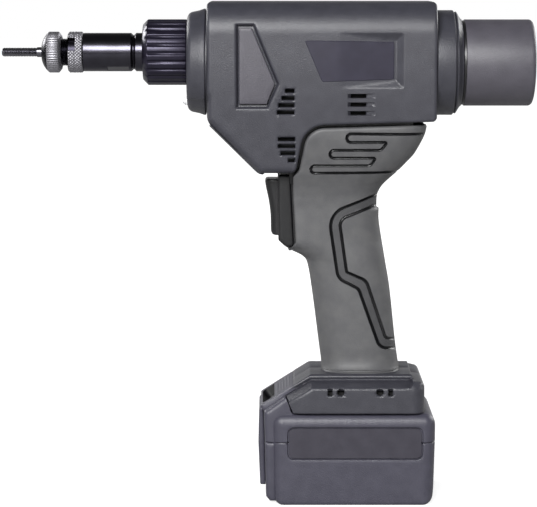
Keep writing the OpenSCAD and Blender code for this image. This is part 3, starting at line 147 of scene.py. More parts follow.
def beside(line, d, closed):
    """The line moved to its left by d."""
    line = np.asarray(line, float)
    if closed:
        way = np.roll(line, -1, 0) - line
        way /= np.linalg.norm(way, axis=1)[:, None] + 1e-9
        before = np.roll(way, 1, 0)
    else:
        way = np.diff(line, axis=0)
        way /= np.linalg.norm(way, axis=1)[:, None] + 1e-9
        before = np.vstack([way[:1], way])
        way = np.vstack([way, way[-1:]])
    normal = np.stack([-(way + before)[:, 1], (way + before)[:, 0]], 1)
    size = (normal ** 2).sum(1)[:, None] / 2
    return line + normal * d / np.maximum(size, 0.5)


def gap_to(x, z, line, closed=False):
    """Distance of points from a line."""
    line = np.asarray(line, float)
    ends = np.roll(line, -1, 0) if closed else line[1:]
    best = np.full(x.shape, 1e9)
    for a, b in zip(line, ends):
        d = b - a
        t = np.clip(((x - a[0]) * d[0] + (z - a[1]) * d[1]) / max(d @ d, 1e-12), 0, 1)
        best = np.minimum(best, np.hypot(x - a[0] - t * d[0], z - a[1] - t * d[1]))
    return best


def within(x, z, outline):
    """True for points inside a closed outline."""
    state = np.zeros(x.shape, bool)
    for (ax, az), (bx, bz) in zip(outline, np.roll(outline, -1, 0)):
        if az != bz:
            state ^= ((az > z) != (bz > z)) & (x < (bx - ax) * (z - az) / (bz - az) + ax)
    return state


def depth_in(x, z, outline):
    """Distance inside a closed outline; negative outside it."""
    return np.where(within(x, z, outline), 1, -1) * gap_to(x, z, outline, True)


def edge_fall(d, r):
    """How far a rounded edge of radius r has fallen at distance d from its rim."""
    return r - np.sqrt(np.maximum(r * r - np.clip(r - d, 0, r) ** 2, 0))


def mesh_object(name, points, faces, material, sharp=40, also=()):
    """A smooth piece from points in millimetres, with creases at its sharp edges.
    also holds (material, test) pairs for the faces whose middles pass the test."""
    mesh = bpy.data.meshes.new(name)
    mesh.from_pydata([tuple(p) for p in np.asarray(points, float) / 1000], [], faces)
    mesh.validate()
    mesh.polygons.foreach_set("use_smooth", [True] * len(mesh.polygons))
    mesh.set_sharp_from_angle(angle=math.radians(sharp))
    mesh.materials.append(material)
    middles = np.zeros(len(mesh.polygons) * 3)
    mesh.polygons.foreach_get("center", middles)
    x, y, z = middles.reshape(-1, 3).T * 1000
    kinds = np.zeros(len(mesh.polygons), int)
    for n, (other, test) in enumerate(also):
        mesh.materials.append(other)
        kinds[test(x, y, z)] = n + 1
    mesh.polygons.foreach_set("material_index", kinds)
    piece = bpy.data.objects.new(name, mesh)
    bpy.context.scene.collection.objects.link(piece)
    return piece


def sheet(outline, lines, rims, step, holes, edge):
    """Points and triangles of a flat sheet with holes, and the numbers of the points round its outline.
    lines are (line, closed, offsets, spacing) rows of points along details, and rims are rows inside the
    outline."""
    cell, same_spot, clear, hole_edge = 0.25, 0.0324, 0.08, 0.8
    loops = [spaced(outline, edge, True)] + [spaced(hole, hole_edge, True) for hole in holes]
    x, z = loops[0].T
    if (x * np.roll(z, -1) - np.roll(x, -1) * z).sum() < 0:
        loops[0] = loops[0][::-1]
    points, ties, cells = [], [], {}

    def spot(p):
        """Number of the point at p, or of one that is already there."""
        cx, cz = int(p[0] // cell), int(p[1] // cell)
        for i in [i for a in (-1, 0, 1) for b in (-1, 0, 1) for i in cells.get((cx + a, cz + b), ())]:
            if (p[0] - points[i][0]) ** 2 + (p[1] - points[i][1]) ** 2 < same_spot:
                return i
        points.append(p)
        cells.setdefault((cx, cz), []).append(len(points) - 1)
        return len(points) - 1

    for loop in loops:
        n = len(points)
        points += list(loop)
        ties += [(n + i, n + (i + 1) % len(loop)) for i in range(len(loop))]
    for i, p in enumerate(points):
        cells.setdefault((int(p[0] // cell), int(p[1] // cell)), []).append(i)
    wanted = [(beside(spaced(line, spacing, closed), d, closed), closed, True)
              for line, closed, offsets, spacing in lines for d in offsets]
    wanted += [(beside(loops[0], d, True), True, True) for d in rims]
    low, high = np.min(loops[0], 0), np.max(loops[0], 0)
    for k, z in enumerate(np.arange(low[1], high[1], step * 0.87)):
        x = np.arange(low[0] + step / 2 * (k % 2), high[0], step)
        wanted.append((np.stack([x, np.full(x.shape, z)], 1), False, False))
    for row, closed, tied in wanted:
        keep = depth_in(row[:, 0], row[:, 1], loops[0]) > clear
        for hole in loops[1:]:
            keep &= depth_in(row[:, 0], row[:, 1], hole) < -clear
        chain = [spot(p) if k else None for p, k in zip(row, keep)]
        after = chain[1:] + (chain[:1] if closed else [])
        if tied:
            ties += [(a, b) for a, b in zip(chain, after) if a is not None and b is not None and a != b]
    inside_only, merge = 1, 1e-5
    spots, cuts, tris, origin, cut_origin, _ = delaunay_2d_cdt([Vector(p) for p in points], ties, [],
                                                               inside_only, merge)
    spots = np.array([(p[0], p[1]) for p in spots])
    middle = np.array([spots[list(t)].mean(0) for t in tris])
    good = np.full(len(tris), True)
    for hole in loops[1:]:
        good &= ~within(middle[:, 0], middle[:, 1], hole)
    # A side of the outline has more points than its ends where a detail meets it
    place = {first: i for i, firsts in enumerate(origin) for first in firsts}
    sides = [set() for _ in loops[0]]
    for cut, firsts in zip(cuts, cut_origin):
        for i in firsts:
            if i < len(sides):
                sides[i].update(cut)
    loop = []
    for i, on in enumerate(sides):
        loop += sorted(on, key=lambda v: math.dist(spots[v], spots[place[i]]))[:-1]
    return spots, [list(t) for t, g in zip(tris, good) if g], loop


def band(a, b):
    """Faces between two rings of point numbers."""
    n = len(a)
    return [[a[i], b[i], b[(i + 1) % n], a[(i + 1) % n]] for i in range(n)]


def relief(outline, height, lines=(), rims=(), step=3.0, holes=(), edge=1.5, side=-1, inner=0.0,
           rows=(0.5,), bulge=None, close=True):
    """Points and faces of a sheet that stands height(x, z) out of the seam plane, with walls back to inner.
    side is -1 for the left, 1 for the right and 0 for both; rows are the places of points down the walls."""
    spots, tris, loop = sheet(outline, lines, rims, step, holes, edge)
    y = height(spots[:, 0], spots[:, 1])
    rim = spots[loop]
    out = beside(rim, -1, True) - rim
    near = np.stack([spots[:, 0], -y, spots[:, 1]], 1)
    parts, faces = [near], list(tris)
    count = len(near)
    ring = loop
    level = np.broadcast_to(np.asarray(inner(*rim.T) if callable(inner) else inner, float), (len(loop),))
    for t in list(rows) + ([1.0] if side else []):
        row = near[loop].copy()
        row[:, 1] = -(level + (y[loop] - level) * (1 - t)) if side else -y[loop] * (1 - 2 * t)
        if bulge is not None:
            row[:, [0, 2]] += out * bulge(rim[:, 0], rim[:, 1], np.abs(row[:, 1]))[:, None]
        parts.append(row)
        new = list(range(count, count + len(row)))
        count += len(row)
        faces += band(ring, new)
        ring = new
    if side == 0:
        far = [count + i for i in range(len(near))]
        parts.append(near * [1, -1, 1])
        faces += [[far[i] for i in reversed(t)] for t in tris]
        faces += band(ring, [far[i] for i in loop])
    elif close:
        faces.append(ring[::-1])
    points = np.vstack(parts)
    if side > 0:
        points = points * [1, -1, 1]
        faces = [list(reversed(f)) for f in faces]
    return points, faces


def joined(*parts):
    """Several sets of points and faces as one."""
    points, faces, n = [], [], 0
    for p, f in parts:
        points.append(p)
        faces += [[i + n for i in face] for face in f]
        n += len(p)
    return np.vstack(points), faces


def hollow(piece, thick):
    """Gives a surface a wall of this thickness, inwards."""
    wall = piece.modifiers.new("wall", "SOLIDIFY")
    wall.thickness = thick / 1000
    wall.offset = -1


def fit(piece, body, node):
    """Fixes a piece to its body, in the place of its CAD node."""
    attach(piece, body)
    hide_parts(node)


halves = ((-1, "left"), (1, "right"))
main_z = 282.3
head_front, head_rear, head_top, belly_z = -93.5, 51.5, 321.5, 213.5
# The side draws in below draw_z, first in a curve and then along a slope
head_half, draw_z, draw_bend, draw_curve, draw_slope = 35, 285, 35, 0.0014, 0.09
head_corners = [(-60, belly_z, 5), (-37.5, belly_z, 5), (-31.5, 244, 15), (head_rear, 246.5, 3),
                (head_rear, head_top, 3), (head_front, head_top, 3), (head_front, 246.5, 9)]
head_outline = rounded(head_corners)
# An arc has 7 points, and the seam to the handle starts at the second corner
arc_points = 7
seam_edge = head_outline[arc_points + 1:4 * arc_points - 2]
chin_edge = [(head_front, 262), (-93.4, 247), (-60, belly_z), (-41, belly_z)]
top_round, front_round, rear_round, chin_round, seam_round = 20.0, 2.6, 2.2, 4.2, 1.6
panel_corners = [(-75.6, 308.3), (-75.6, 254.3), (-54.5, 254.3), (-47.4, 270.5), (-63.1, 308.3)]
panel_steps = (-0.5, 0.1, 0.6, 1.1, 1.7, 2.2)
panel_falls = (0, 0.12, 0.5, 1.2, 3.2, 3.4)
recess_corners = [(-30, 267.5, 0), (30.5, 267.5, 2), (30.5, 302.3, 2), (-30, 302.3, 0)]
recess_outline = rounded(recess_corners)
recess_x0, recess_x1, recess_deep, recess_slope = -10.0, 25.5, 3.0, 0.62
front_vent_rows = [(-44.1, -38.5, 266.1), (-46.2, -38.5, 261.5), (-48.3, -38.5, 257), (-49.1, -38.5, 252.5),
                   (-48.5, -38, 235.5), (-48.5, -38, 231.1), (-46.9, -38, 226.6), (-42.1, -38, 222.1)]
rear_vent_rows = [(-2.9, 6.7, 262.9), (-2.9, 6.7, 257.5), (-2.9, 6.7, 252.1)]
vent_half, vent_bevel, vent_sunk = 1.15, 0.8, 0.7


def oblong(x0, x1, z0, z1):
    """Four corners of an opening or a plate."""
    return [(x0, z0), (x1, z0), (x1, z1), (x0, z1)]


front_vents = [oblong(a, b, z - vent_half, z + vent_half) for a, b, z in front_vent_rows]
rear_vents = [oblong(a, b, z - vent_half, z + vent_half) for a, b, z in rear_vent_rows]
scoops = [oblong(a - 2, b + 6, z - 1.5, z + 1.4) for a, b, z in rear_vent_rows]
# Ribs inside that stand behind the vents and keep the light out, painted near black as painted shade
vent_screens = [oblong(-53, -35, 218.5, 270), oblong(-6, 12, 248, 267)]


def label_floor(x):
    """Depth of the label's sloping floor below the side of the head."""
    return recess_deep * np.clip((x - recess_x0) / (recess_x1 - recess_x0), 0, None)


def head_side(z):
    """Half width of the head, which draws in below the axis towards the belly."""
    low = np.clip(draw_z - z, 0, None)
    bent = draw_curve * draw_bend ** 2
    return head_half - np.where(low < draw_bend, draw_curve * low ** 2, bent + draw_slope * (low - draw_bend))


def head_height(x, z):
    """The head's side, with its rounded edges, the two recesses, the vents and the scoops behind."""
    y = head_side(z) - edge_fall(head_top - z, top_round)
    y = y - edge_fall(x - head_front, front_round) - edge_fall(head_rear - x, rear_round)
    y -= edge_fall(gap_to(x, z, chin_edge), chin_round)
    y -= edge_fall(gap_to(x, z, seam_edge), seam_round)
    y -= np.interp(depth_in(x, z, panel_corners), panel_steps, panel_falls)
    y -= np.clip(np.minimum(label_floor(x), recess_slope * depth_in(x, z, recess_outline)), 0, None)
    for vent in front_vents:
        y -= np.interp(-depth_in(x, z, vent), [0, vent_bevel], [vent_sunk, 0])
    for scoop in scoops:
        start, stop = scoop[0][0], scoop[1][0]
        ramp = np.interp(x, [start, start + 1.8, stop - 6, stop], [0.4, 1.7, 1.7, 0])
        y -= ramp * np.clip(depth_in(x, z, scoop) / 0.25, 0, 1)
    return y


def head_inner(x, z):
    """Where the walls of a half stop: at the round openings of the two ends, and open over the handle."""
    end_opening, wall_left = 32.4, 0.6
    handle = (z < 250) & (x > -38) & (x < head_rear - 0.3)
    full = head_height(x, z)
    opening = np.sqrt(np.clip(end_opening ** 2 - (z - main_z) ** 2, 0, None))
    ends = (x < head_front + 0.3) | (x > head_rear - 0.3)
    return np.where(handle, np.maximum(full - 4, 0), np.where(ends, np.minimum(opening, full - wall_left), 0))


def slant_bulge(x, z, y):
    """The slanted underside bellies out towards the seam, most at its middle."""
    slant_x, slant_z, reach, belly, side_y = -76, 230, 34, 2.6, 31
    along = np.clip(1 - np.abs((x - slant_x) - (slant_z - z)) / reach, 0, 1) * (z < 244) * (x < -57)
    return belly * np.sqrt(along) * (1 - np.clip(y / side_y, 0, 1) ** 2)


head_lines = [(panel_corners, True, panel_steps + (3.2,), 1.0),
              (recess_outline, True, (-0.3, 0.05, 1.2, 2.6, 4.2, 5), 1.2),
              ([(recess_x0, 268), (recess_x0, 302)], False, (-0.6, 0.6), 1.5),
              ([(recess_x1 - 0.3, 272), (recess_x1 - 0.3, 298)], False, (0, 0.6), 1.5)]
head_lines += [(vent, True, (-0.4, -vent_bevel), 0.7) for vent in front_vents]
head_lines += [(scoop, True, (-0.2, 0, 0.3), 0.8) for scoop in scoops]
head_rims = (0.06, 0.25, 0.6, 1.1, 1.7, 2.4, 3.2, 4.3, 6, 8, 10.5, 13.5, 17, 20)
head_rows = (0.02, 0.06, 0.14, 0.3, 0.5, 0.75)
for side, name in halves:
    half = relief(head_outline, head_height, head_lines, head_rims, 3.2, front_vents + rear_vents, 1.0, side,
                  head_inner, head_rows, slant_bulge, close=False)
    head = mesh_object(name + "_head", *half, nylon)
    hollow(head, 2.2)
    fit(head, "housing", name + "_shell")
    screens = [relief(screen, lambda x, z: head_side(z) - 6.5, step=6.0, edge=4.0, side=side,
                      inner=lambda x, z: head_side(z) - 7.5) for screen in vent_screens]
    ribs = mesh_object(name + "_vent_ribs", *joined(*screens), painted_shade_nylon)
    fit(ribs, "housing", name + "_shell")


# Side panels: a five-sided insert on each side of the head, sunk in its own recess.
# Moulded in the same nylon and pressed in, with a narrow gap all round.

# The same nylon, a shade lighter, so that the inserts stand off from the head
panel_nylon = finish_of("glass_filled_nylon_light", "#413f46", "#46444b", 0.46, 0.6, 0.15)
plate_corners = [(-73.1, 257.6, 1), (-55.7, 257.6, 1), (-50.5, 270.3, 1), (-65, 305.2, 1), (-73.1, 305.2, 1)]
plate_outline = rounded(plate_corners, 3)
plate_sunk, plate_round = 0.9, 0.7


def panel_height(x, z):
    """The panel follows the head's side, a little below it."""
    return head_side(z) - plate_sunk - edge_fall(gap_to(x, z, plate_outline, True), plate_round)


for side, name in halves:
    plate = relief(plate_outline, panel_height, (), (0.1, 0.3, plate_round), 4.0, edge=2.0, side=side,
                   inner=32.0)
    panel = mesh_object(name + "_panel", *plate, panel_nylon)
    fit(panel, "housing", name + "_side_panel")


# Label plates: thin plates stuck to the sloping floors of the wedge recesses, left bare.
# Polycarbonate film, tinted blue-black.

# Polycarbonate film, satin: smooth, with broad soft highlights
label_film = finish_of("polycarbonate_film_satin", "#25232f", "#2a2835", 0.3, 0.6, 0.003)
label_outline = rounded([(-21, 271.7, 2), (24.2, 273.1, 1.5), (24.2, 296.7, 1.2), (-32, 297.6, 0.8)], 4)
label_proud, label_round = 0.45, 0.35


def label_height(x, z):
    """The plate's face lies along the sloping floor."""
    fall = edge_fall(gap_to(x, z, label_outline, True), label_round)
    return head_side(z) + label_proud - label_floor(x) - fall


for side, name in halves:
    plate = relief(label_outline, label_height, (), (0.12, label_round), 4.0, edge=2.0, side=side,
                   inner=lambda x, z: head_side(z) - 0.4 - label_floor(x))
    label = mesh_object(name + "_label", *plate, label_film)
    fit(label, "housing", name + "_label_plate")


# Soft grip: two skins moulded over the handle, one on each half of the housing.
# Thermoplastic elastomer, cut by a winding line under the head and by two lines
# down the side, with a darker strip between the two; the floors of the cuts are painted near black, a painted
# shade.

# Thermoplastic elastomer, moulded: a matt mid grey, its grain coarsened from 0.4 mm to 0.8 mm to show
elastomer = finish_of("thermoplastic_elastomer_matt", "#48484a", "#505051", 0.55, 0.8, 0.08)
# The strip between the two lines, shot in a darker elastomer with the same touch
strip_elastomer = finish_of("thermoplastic_elastomer_dark", "#363638", "#3c3c3e", 0.55, 0.8, 0.08)


def curve(points, steps=6):
    """A smooth open line through the points."""
    p = np.asarray(points, float)
    p = np.vstack([2 * p[0] - p[1], p, 2 * p[-1] - p[-2]])
    out = []
    for a, b, c, d in zip(p, p[1:], p[2:], p[3:]):
        for t in np.arange(steps) / steps:
            bend = 2 * a - 5 * b + 4 * c - d
            out.append(b + 0.5 * ((c - a) * t + bend * t ** 2 + (3 * b - a - 3 * c + d) * t ** 3))
    return np.array(out + [p[-2]])


grip_foot = 83.0
rear_low = curve([(31, grip_foot), (29.9, 88.3), (27.9, 102.5), (24.2, 136.2), (21.2, 154), (17.1, 178.9),
                  (16.8, 188.6)])
rear_high = curve([(15.3, 189.6), (15.8, 197.6), (19.2, 204.2), (28.2, 212.9), (34.9, 220), (39.6, 225.7),
                   (44.9, 236.4), (46.4, 242.3)])
front_line = curve([(-43.2, 163.4), (-39.3, 161.2), (-32.4, 157.5), (-29.1, 151.5), (-25.9, 131.8),
                    (-21.9, 101.1), (-20.3, 89.1), (-20.2, grip_foot)])
seam_gap = 2.0
seam = beside(head_outline[arc_points:3 * arc_points], -seam_gap, False)
seam = seam[seam[:, 0] > -38.4][::-1]
rear_top = (45.2, 244.2)
trigger_side = np.array([(-38.9, 210), (-38.7, 195), (-37.4, 172.5), (-37.2, 168), (-39.4, 164.6)])
grip_outline = np.vstack([rear_low, rear_high, [rear_top], seam, trigger_side, front_line])
strip_outer = rounded([(16, 198.8, 0), (-16.3, 186.9, 13), (-9.9, 144.7, 8), (3.4, 137.9, 5),
                       (17.2, 99.4, 7), (31, 96.9, 0)])
strip_inner = rounded([(16, 192, 0), (-9.3, 182.8, 6), (-4.4, 148.9, 1.5), (8.3, 143.2, 7),
                       (21.2, 105.2, 3), (31, 102.6, 0)])
strip = np.vstack([strip_outer, strip_inner[::-1]])
winding = rounded([(43, 238.3, 0), (-5.2, 238.9, 2.7), (-5.2, 233.3, 2.7), (20.4, 233.4, 0.8),
                   (16.6, 228.3, 2.5), (-15.7, 228.3, 2.5), (-15.7, 223.2, 2.5), (13.4, 223.2, 0.8),
                   (9.8, 218.2, 2.5), (-27.7, 218.2, 2.4), (-27.7, 213.4, 2.4), (30, 213.6, 0)])
# Half widths of the two kinds of cut, and how much of each is painted near black as painted shade
strip_cut, winding_cut, cut_deep = 0.95, 0.9, 1.9
strip_shade_half, winding_shade_half = 0.83, 0.78
strip_sunk, palm_sunk, palm_top = 0.6, 0.7, 213.6
grip_z = [83, 84.2, 86, 88.5, 92, 120, 150, 163, 190, 198, 205, 213, 226, 236, 247]
grip_half = [23.5, 21.3, 19.6, 18.5, 18, 18, 18.5, 18.6, 19, 20, 22, 25.5, 29.2, 31.4, 32.4]
rear_all = np.vstack([rear_low, rear_high, [(46.6, 247)]])
front_all = np.vstack([front_line[::-1], [(-60, 168), (-60, 247)]])


def groove(gap, half, deep):
    """Depth of a round-bottomed groove at a distance from its middle."""
    return deep * np.sqrt(np.clip(1 - (gap / half) ** 2, 0, 1))


def grip_height(x, z):
    """The round side of the handle, squarer towards the head, with its cuts and sunk parts."""
    front = np.interp(z, front_all[:, 1], front_all[:, 0])
    rear = np.interp(z, rear_all[:, 1], rear_all[:, 0])
    square = np.interp(z, [84, 190, 205, 226, 240], [2.5, 2.7, 3.0, 4.2, 5.5])
    across = np.clip(np.abs(x - (front + rear) / 2) / ((rear - front) / 2), 0, 1)
    y = np.interp(z, grip_z, grip_half) * (1 - across ** square) ** (1 / square)
    y -= strip_sunk * np.clip(depth_in(x, z, strip) / 0.5, 0, 1)
    for line in (strip_outer, strip_inner):
        y -= groove(gap_to(x, z, line), strip_cut, cut_deep)
    y -= groove(gap_to(x, z, winding), winding_cut, cut_deep)
    y -= palm_sunk * np.clip((palm_top - z) / 0.8, 0, 1) * np.clip((x + 27) / 12, 0, 1)
    y -= edge_fall(gap_to(x, z, np.vstack([[rear_top], seam])), 2.0)
    y -= edge_fall(gap_to(x, z, trigger_side), 1.2)
    return np.maximum(y, 0.25)


def in_cut(x, y, z):
    """True in the floors of the cuts, which are painted near black as painted shade."""
    lines = ((strip_outer, strip_shade_half), (strip_inner, strip_shade_half), (winding, winding_shade_half))
    return np.any([gap_to(x, z, line) < half for line, half in lines], 0) & (np.abs(y) > 1.5)


def in_strip(x, y, z):
    """True on the darker strip."""
    return within(x, z, strip) & ~in_cut(x, y, z)


# The handle's core, painted near black as painted shade, shows as a dark line all along the seam between the
# head and the grip
core_line = spaced(head_outline[arc_points:3 * arc_points + 3], 2.0, False)
core_line = core_line[core_line[:, 0] < 37]
core_outline = np.vstack([beside(core_line, -8, False), beside(core_line, 3, False)[::-1]])
core_sunk, core_thick = 6.5, 1.5


def core_height(x, z):
    """The core lies behind both the head and the grip."""
    return np.minimum(head_side(z), np.interp(z, grip_z, grip_half)) - core_sunk


cut_rows = (-1.1, -0.85, -0.55, 0, 0.55, 0.85, 1.1)
grip_lines = [(line, False, cut_rows, 1.2) for line in (strip_outer, strip_inner, winding)]
grip_rims = (0.05, 0.2, 0.5, 1, 1.7, 2.6, 3.8, 5.2, 7)
for side, name in halves:
    skin = relief(grip_outline, grip_height, grip_lines, grip_rims, 2.6, edge=1.2, side=side,
                  inner=lambda x, z: np.maximum(grip_height(x, z) - 3, 0), rows=(0.15, 0.5), close=False)
    grip = mesh_object(name + "_skin", *skin, elastomer, 40,
                       [(dark_nylon_and_shade, in_cut), (strip_elastomer, in_strip)])
    hollow(grip, 2.0)
    fit(grip, "housing", name + "_grip")
    behind = relief(core_outline, core_height, step=5.0, edge=3.0, side=side,
                    inner=lambda x, z: core_height(x, z) - core_thick)
    core = mesh_object(name + "_handle_core", *behind, dark_nylon_and_shade)
    fit(core, "housing", name + "_shell")


# Trigger bezel: a U of dark plastic set in the front of the handle, which the trigger slides in.
# Moulded in dark nylon: two cheeks joined by a bar below and a bar above, with a lip that runs in under
# the grip.

cheek = rounded([(-43.2, 164.4, 2.5), (-38, 165.2, 2), (-40.2, 211.3, 1), (-48.6, 211.3, 1.5),
                 (-48.3, 169, 2)], 4)
bars = [rounded([(-43.2, 164.6, 2), (-38.5, 165.4, 1.5), (-38.7, 171.2, 0.5), (-47.6, 171.2, 1),
                 (-47.8, 169, 1)], 4),
        rounded([(-47.6, 208.4, 0.5), (-40.5, 208.4, 0.5), (-40.5, 211.2, 0.5), (-47.6, 211.2, 0.5)], 3)]
lip = oblong(-41.5, -35, 166.5, 210.5)
cheek_half, cheek_inside, cheek_round, bar_half, lip_half = 14.5, 11.1, 1.6, 11.2, 13.2


def cheek_height(x, z):
    """A cheek's outside, rounded all round."""
    return cheek_half - edge_fall(gap_to(x, z, cheek, True), cheek_round)


cheek_rims = (0.1, 0.4, 0.9, cheek_round)
parts = [relief(cheek, cheek_height, (), cheek_rims, edge=1.2, side=side, inner=cheek_inside)
         for side in (-1, 1)]
parts += [relief(bar, lambda x, z: np.full(x.shape, bar_half), side=0) for bar in bars]
parts += [relief(lip, lambda x, z: np.full(x.shape, lip_half), step=5.0, edge=3.0, side=side,
                 inner=cheek_inside) for side in (-1, 1)]
bezel = mesh_object("bezel", *joined(*parts), dark_nylon_and_shade)
fit(bezel, "housing", "trigger_bezel")


# Trigger: a finger lever with a hollowed front, on a stem that works the switch behind it.
# Moulded in the same dark nylon; it slides straight back by 6 mm against a wire spring.

trigger_front = curve([(-56.8, 206.4), (-56.2, 202.5), (-54.4, 194), (-53.3, 185), (-53.1, 176),
                       (-52.8, 173.4)])
trigger_edge = np.vstack([trigger_front, [(-51.8, 172.2), (-49.6, 171.8), (-41.9, 171.8), (-41.9, 207.8),
                                          (-55.2, 207.9), (-56.3, 207.6)]])
trigger_half, finger_round, trigger_round = 10.3, 4.5, 0.8
trigger_rims = (0.06, 0.25, 0.6, 1.1, 1.8, 2.7, 3.7, 4.6)
stem_z = 189.8


def trigger_height(x, z):
    """The lever's side, well rounded where the finger lies."""
    y = trigger_half - edge_fall(gap_to(x, z, trigger_front), finger_round)
    return y - edge_fall(gap_to(x, z, trigger_edge[len(trigger_front) - 1:]), trigger_round)


def lathe(profile, axis_z, turns, shape=None):
    """Points and faces of a ring turned about a line along X; the profile runs out along +X and back inside.
    shape(x, r, angle) gives the radius where the ring isn't round."""
    points, faces, rings = [], [], []
    for x, r in profile:
        if r == 0:
            rings.append([len(points)] * turns)
            points.append((x, 0, axis_z))
            continue
        rings.append(list(range(len(points), len(points) + turns)))
        for k in range(turns):
            a = 2 * math.pi * k / turns
            d = shape(x, r, a) if shape else r
            points.append((x, d * math.cos(a), axis_z + d * math.sin(a)))
    solid = profile[0][1] == 0
    for a, b in zip(rings, rings[1:] if solid else rings[1:] + rings[:1]):
        for k in range(turns):
            n = (k + 1) % turns
            face = [a[k], a[n], b[n], b[k]]
            faces.append([v for i, v in enumerate(face) if v != face[i - 1]])
    return np.array(points), faces


blade = relief(trigger_edge, trigger_height, (), trigger_rims, 2.4, edge=1.0, side=0, rows=(0.25, 0.5, 0.75))
stem = lathe([(-42.5, 0), (-42.5, 3), (-30.4, 3), (-29.9, 2.5), (-29.9, 0)], stem_z, 32)
lever = mesh_object("trigger_lever", *joined(blade, stem), dark_nylon_and_shade)
fit(lever, "trigger", "trigger")

# Spring steel, bright ground: sharp, pale reflections
bright_steel = finish_of("steel_bright_ground", "#8c8b8e", "#96959a", 0.25, 0.4, 0.003, 1.0)


def spring(node, body, turns, axis, fixed):
    """A wire spring in the box of its CAD node, along an axis.
    fixed picks the end that stays, but the point worked out from it is not used."""
    low, high = (1000 * np.array(corner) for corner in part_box(node))
    others = [k for k in range(3) if k != axis]
    wire = 0.45
    radius = (high - low)[others[1]] / 2 - wire
    middle = (low + high) / 2
    steps = turns * 20
    points, faces = [], []
    for i in range(steps + 1):
        a = 2 * math.pi * turns * i / steps
        for k in range(8):
            b = 2 * math.pi * k / 8
            point = middle.copy()
            point[axis] = low[axis] + wire + (high - low - 2 * wire)[axis] * i / steps + wire * math.sin(b)
            point[others[0]] += (radius + wire * math.cos(b)) * math.cos(a)
            point[others[1]] += (radius + wire * math.cos(b)) * math.sin(a)
            points.append(point)
    for i in range(steps):
        faces += [[8 * i + k, 8 * i + (k + 1) % 8, 8 * i + 8 + (k + 1) % 8, 8 * i + 8 + k] for k in range(8)]
    faces += [[7 - k for k in range(8)], [8 * steps + k for k in range(8)]]
    piece = mesh_object(node + "_coil", np.array(points), [face[::-1] for face in faces], bright_steel, 60)
    fit(piece, body, node)
    anchor = middle / 1000
    anchor[axis] = fixed(low[axis], high[axis]) / 1000
    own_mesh(piece)


# Its spring sits round the stem, between the lever and the switch
spring("trigger_spring", "housing", turns=4, axis=0, fixed=max)


# Foot: the lower end of the housing, which the battery slides on to.
# Same moulding and nylon as the head; a raised crown carries the handle and the sides carry hook screws.

foot_low, foot_rear, foot_half = 59.8, 45.5, 36.5
foot_corners = [(-38.6, foot_low, 1.5), (foot_rear, foot_low, 1), (foot_rear, 79.3, 4), (38.3, 80.5, 0.4),
                (37.6, 83.3, 1), (-27.5, 83.3, 3), (-37.2, 77.2, 0.5), (-43.8, 71.2, 0.8)]
foot_outline = rounded(foot_corners, 4)
shoulder_z, shoulder_x, shoulder_slope = 76.9, -26.5, 0.6
foot_shoulder = [(-46, shoulder_z - shoulder_slope * (shoulder_x + 46)), (shoulder_x, shoulder_z)]
foot_shoulder += [(47, shoulder_z)]
foot_crown = foot_shoulder + [(47, 90), (-46, 90)]
crown_end, crown_end_top = 36.8, 80.7
hook_x = (-8.4, 16.6)
hook_z, hook_radius = 73.96, 2.35
hook_holes = [[(x + hook_radius * math.cos(a), hook_z + hook_radius * math.sin(a))
               for a in np.arange(20) * math.pi / 10] for x in hook_x]
hook_slots = [oblong(x - 1.4, x + 1.4, hook_z - 2.4, hook_z + 2.4) for x in (-15.2, 23.4)]
hook_boss = oblong(-19, 27, 70.2, 76.2)
boss_face, boss_back = 31.5, 30.3
# Half width of the foot at heights above the shoulder's edge
shoulder_steps = (-2.0, -1.0, -0.3, 0.2, 2.4, 2.75, 4.7, 5.4, 6.0, 6.4)
shoulder_half = (foot_half, 36.3, 35.7, 34.8, 26.4, 24.0, 25.0, 24.75, 24.1, 23.2)


def foot_height(x, z):
    """The foot's side: a wide base, a shoulder that slopes in all along, and the crown above it."""
    above = np.where(within(x, z, foot_crown), 1, -1) * gap_to(x, z, foot_shoulder)
    y = np.interp(above, shoulder_steps, shoulder_half)
    rear = edge_fall(foot_rear - x, 8) * np.interp(above, [0, 2.4], [1, 0.6])
    front = 2.6 * np.clip((-30 - x) / 14, 0, 1) ** 1.5 * np.interp(above, [0, 2.4], [1, 0])
    # The crown stops short of the foot's rear, which has a round top
    past = np.clip(x - crown_end + edge_fall(np.clip(above, 0, None), 3), 0, 1) * (z < crown_end_top)
    round_top = edge_fall(np.clip(crown_end_top - (x - 38.3) / 6 - z, 0, None), 7)
    y = y * (1 - past) + (foot_half - round_top) * past
    return np.maximum(y - rear - front - edge_fall(z - foot_low, 0.8), 1)


def foot_inner(x, z):
    """The walls leave the way for the battery's tongue."""
    way = (z < 67.6) & (x < 44)
    return np.where(way, 27.4, 0)


foot_lines = [(foot_shoulder, False, shoulder_steps[:-1] + (1.2,), 1.5),
              ([(crown_end, 77.2), (crown_end, crown_end_top)], False, (0.05, -0.5, -1.05), 0.8),
              ([(35.4, crown_end_top), (38.2, crown_end_top)], False, (-0.12, 0.12), 0.6)]
foot_rims = (0.1, 0.4, 0.9, 1.6, 3, 5, 8)
for side, name in halves:
    half = relief(foot_outline, foot_height, foot_lines, foot_rims, holes=hook_holes + hook_slots, edge=1.2,
                  side=side, inner=foot_inner, rows=(0.1, 0.5), close=False)
    foot = mesh_object(name + "_foot", *half, nylon)
    hollow(foot, 2.4)
    foot.modifiers.new("flat_faces", "WEIGHTED_NORMAL").weight = 100
    fit(foot, "housing", name + "_shell")
    # The boss that the hook screws run into closes the holes and slots behind; it is painted near black, a
    # painted shade
    plate = relief(hook_boss, lambda x, z: np.full(x.shape, boss_face), step=6.0, edge=4.0, side=side,
                   inner=boss_back)
    boss = mesh_object(name + "_hook_boss", *plate, painted_shade_nylon)
    fit(boss, "housing", name + "_shell")


# Battery cases: a lower tub and an upper cover with a parting line all round, joined by four screws.
# Same nylon; the label recess on each side crosses the line and is left bare.

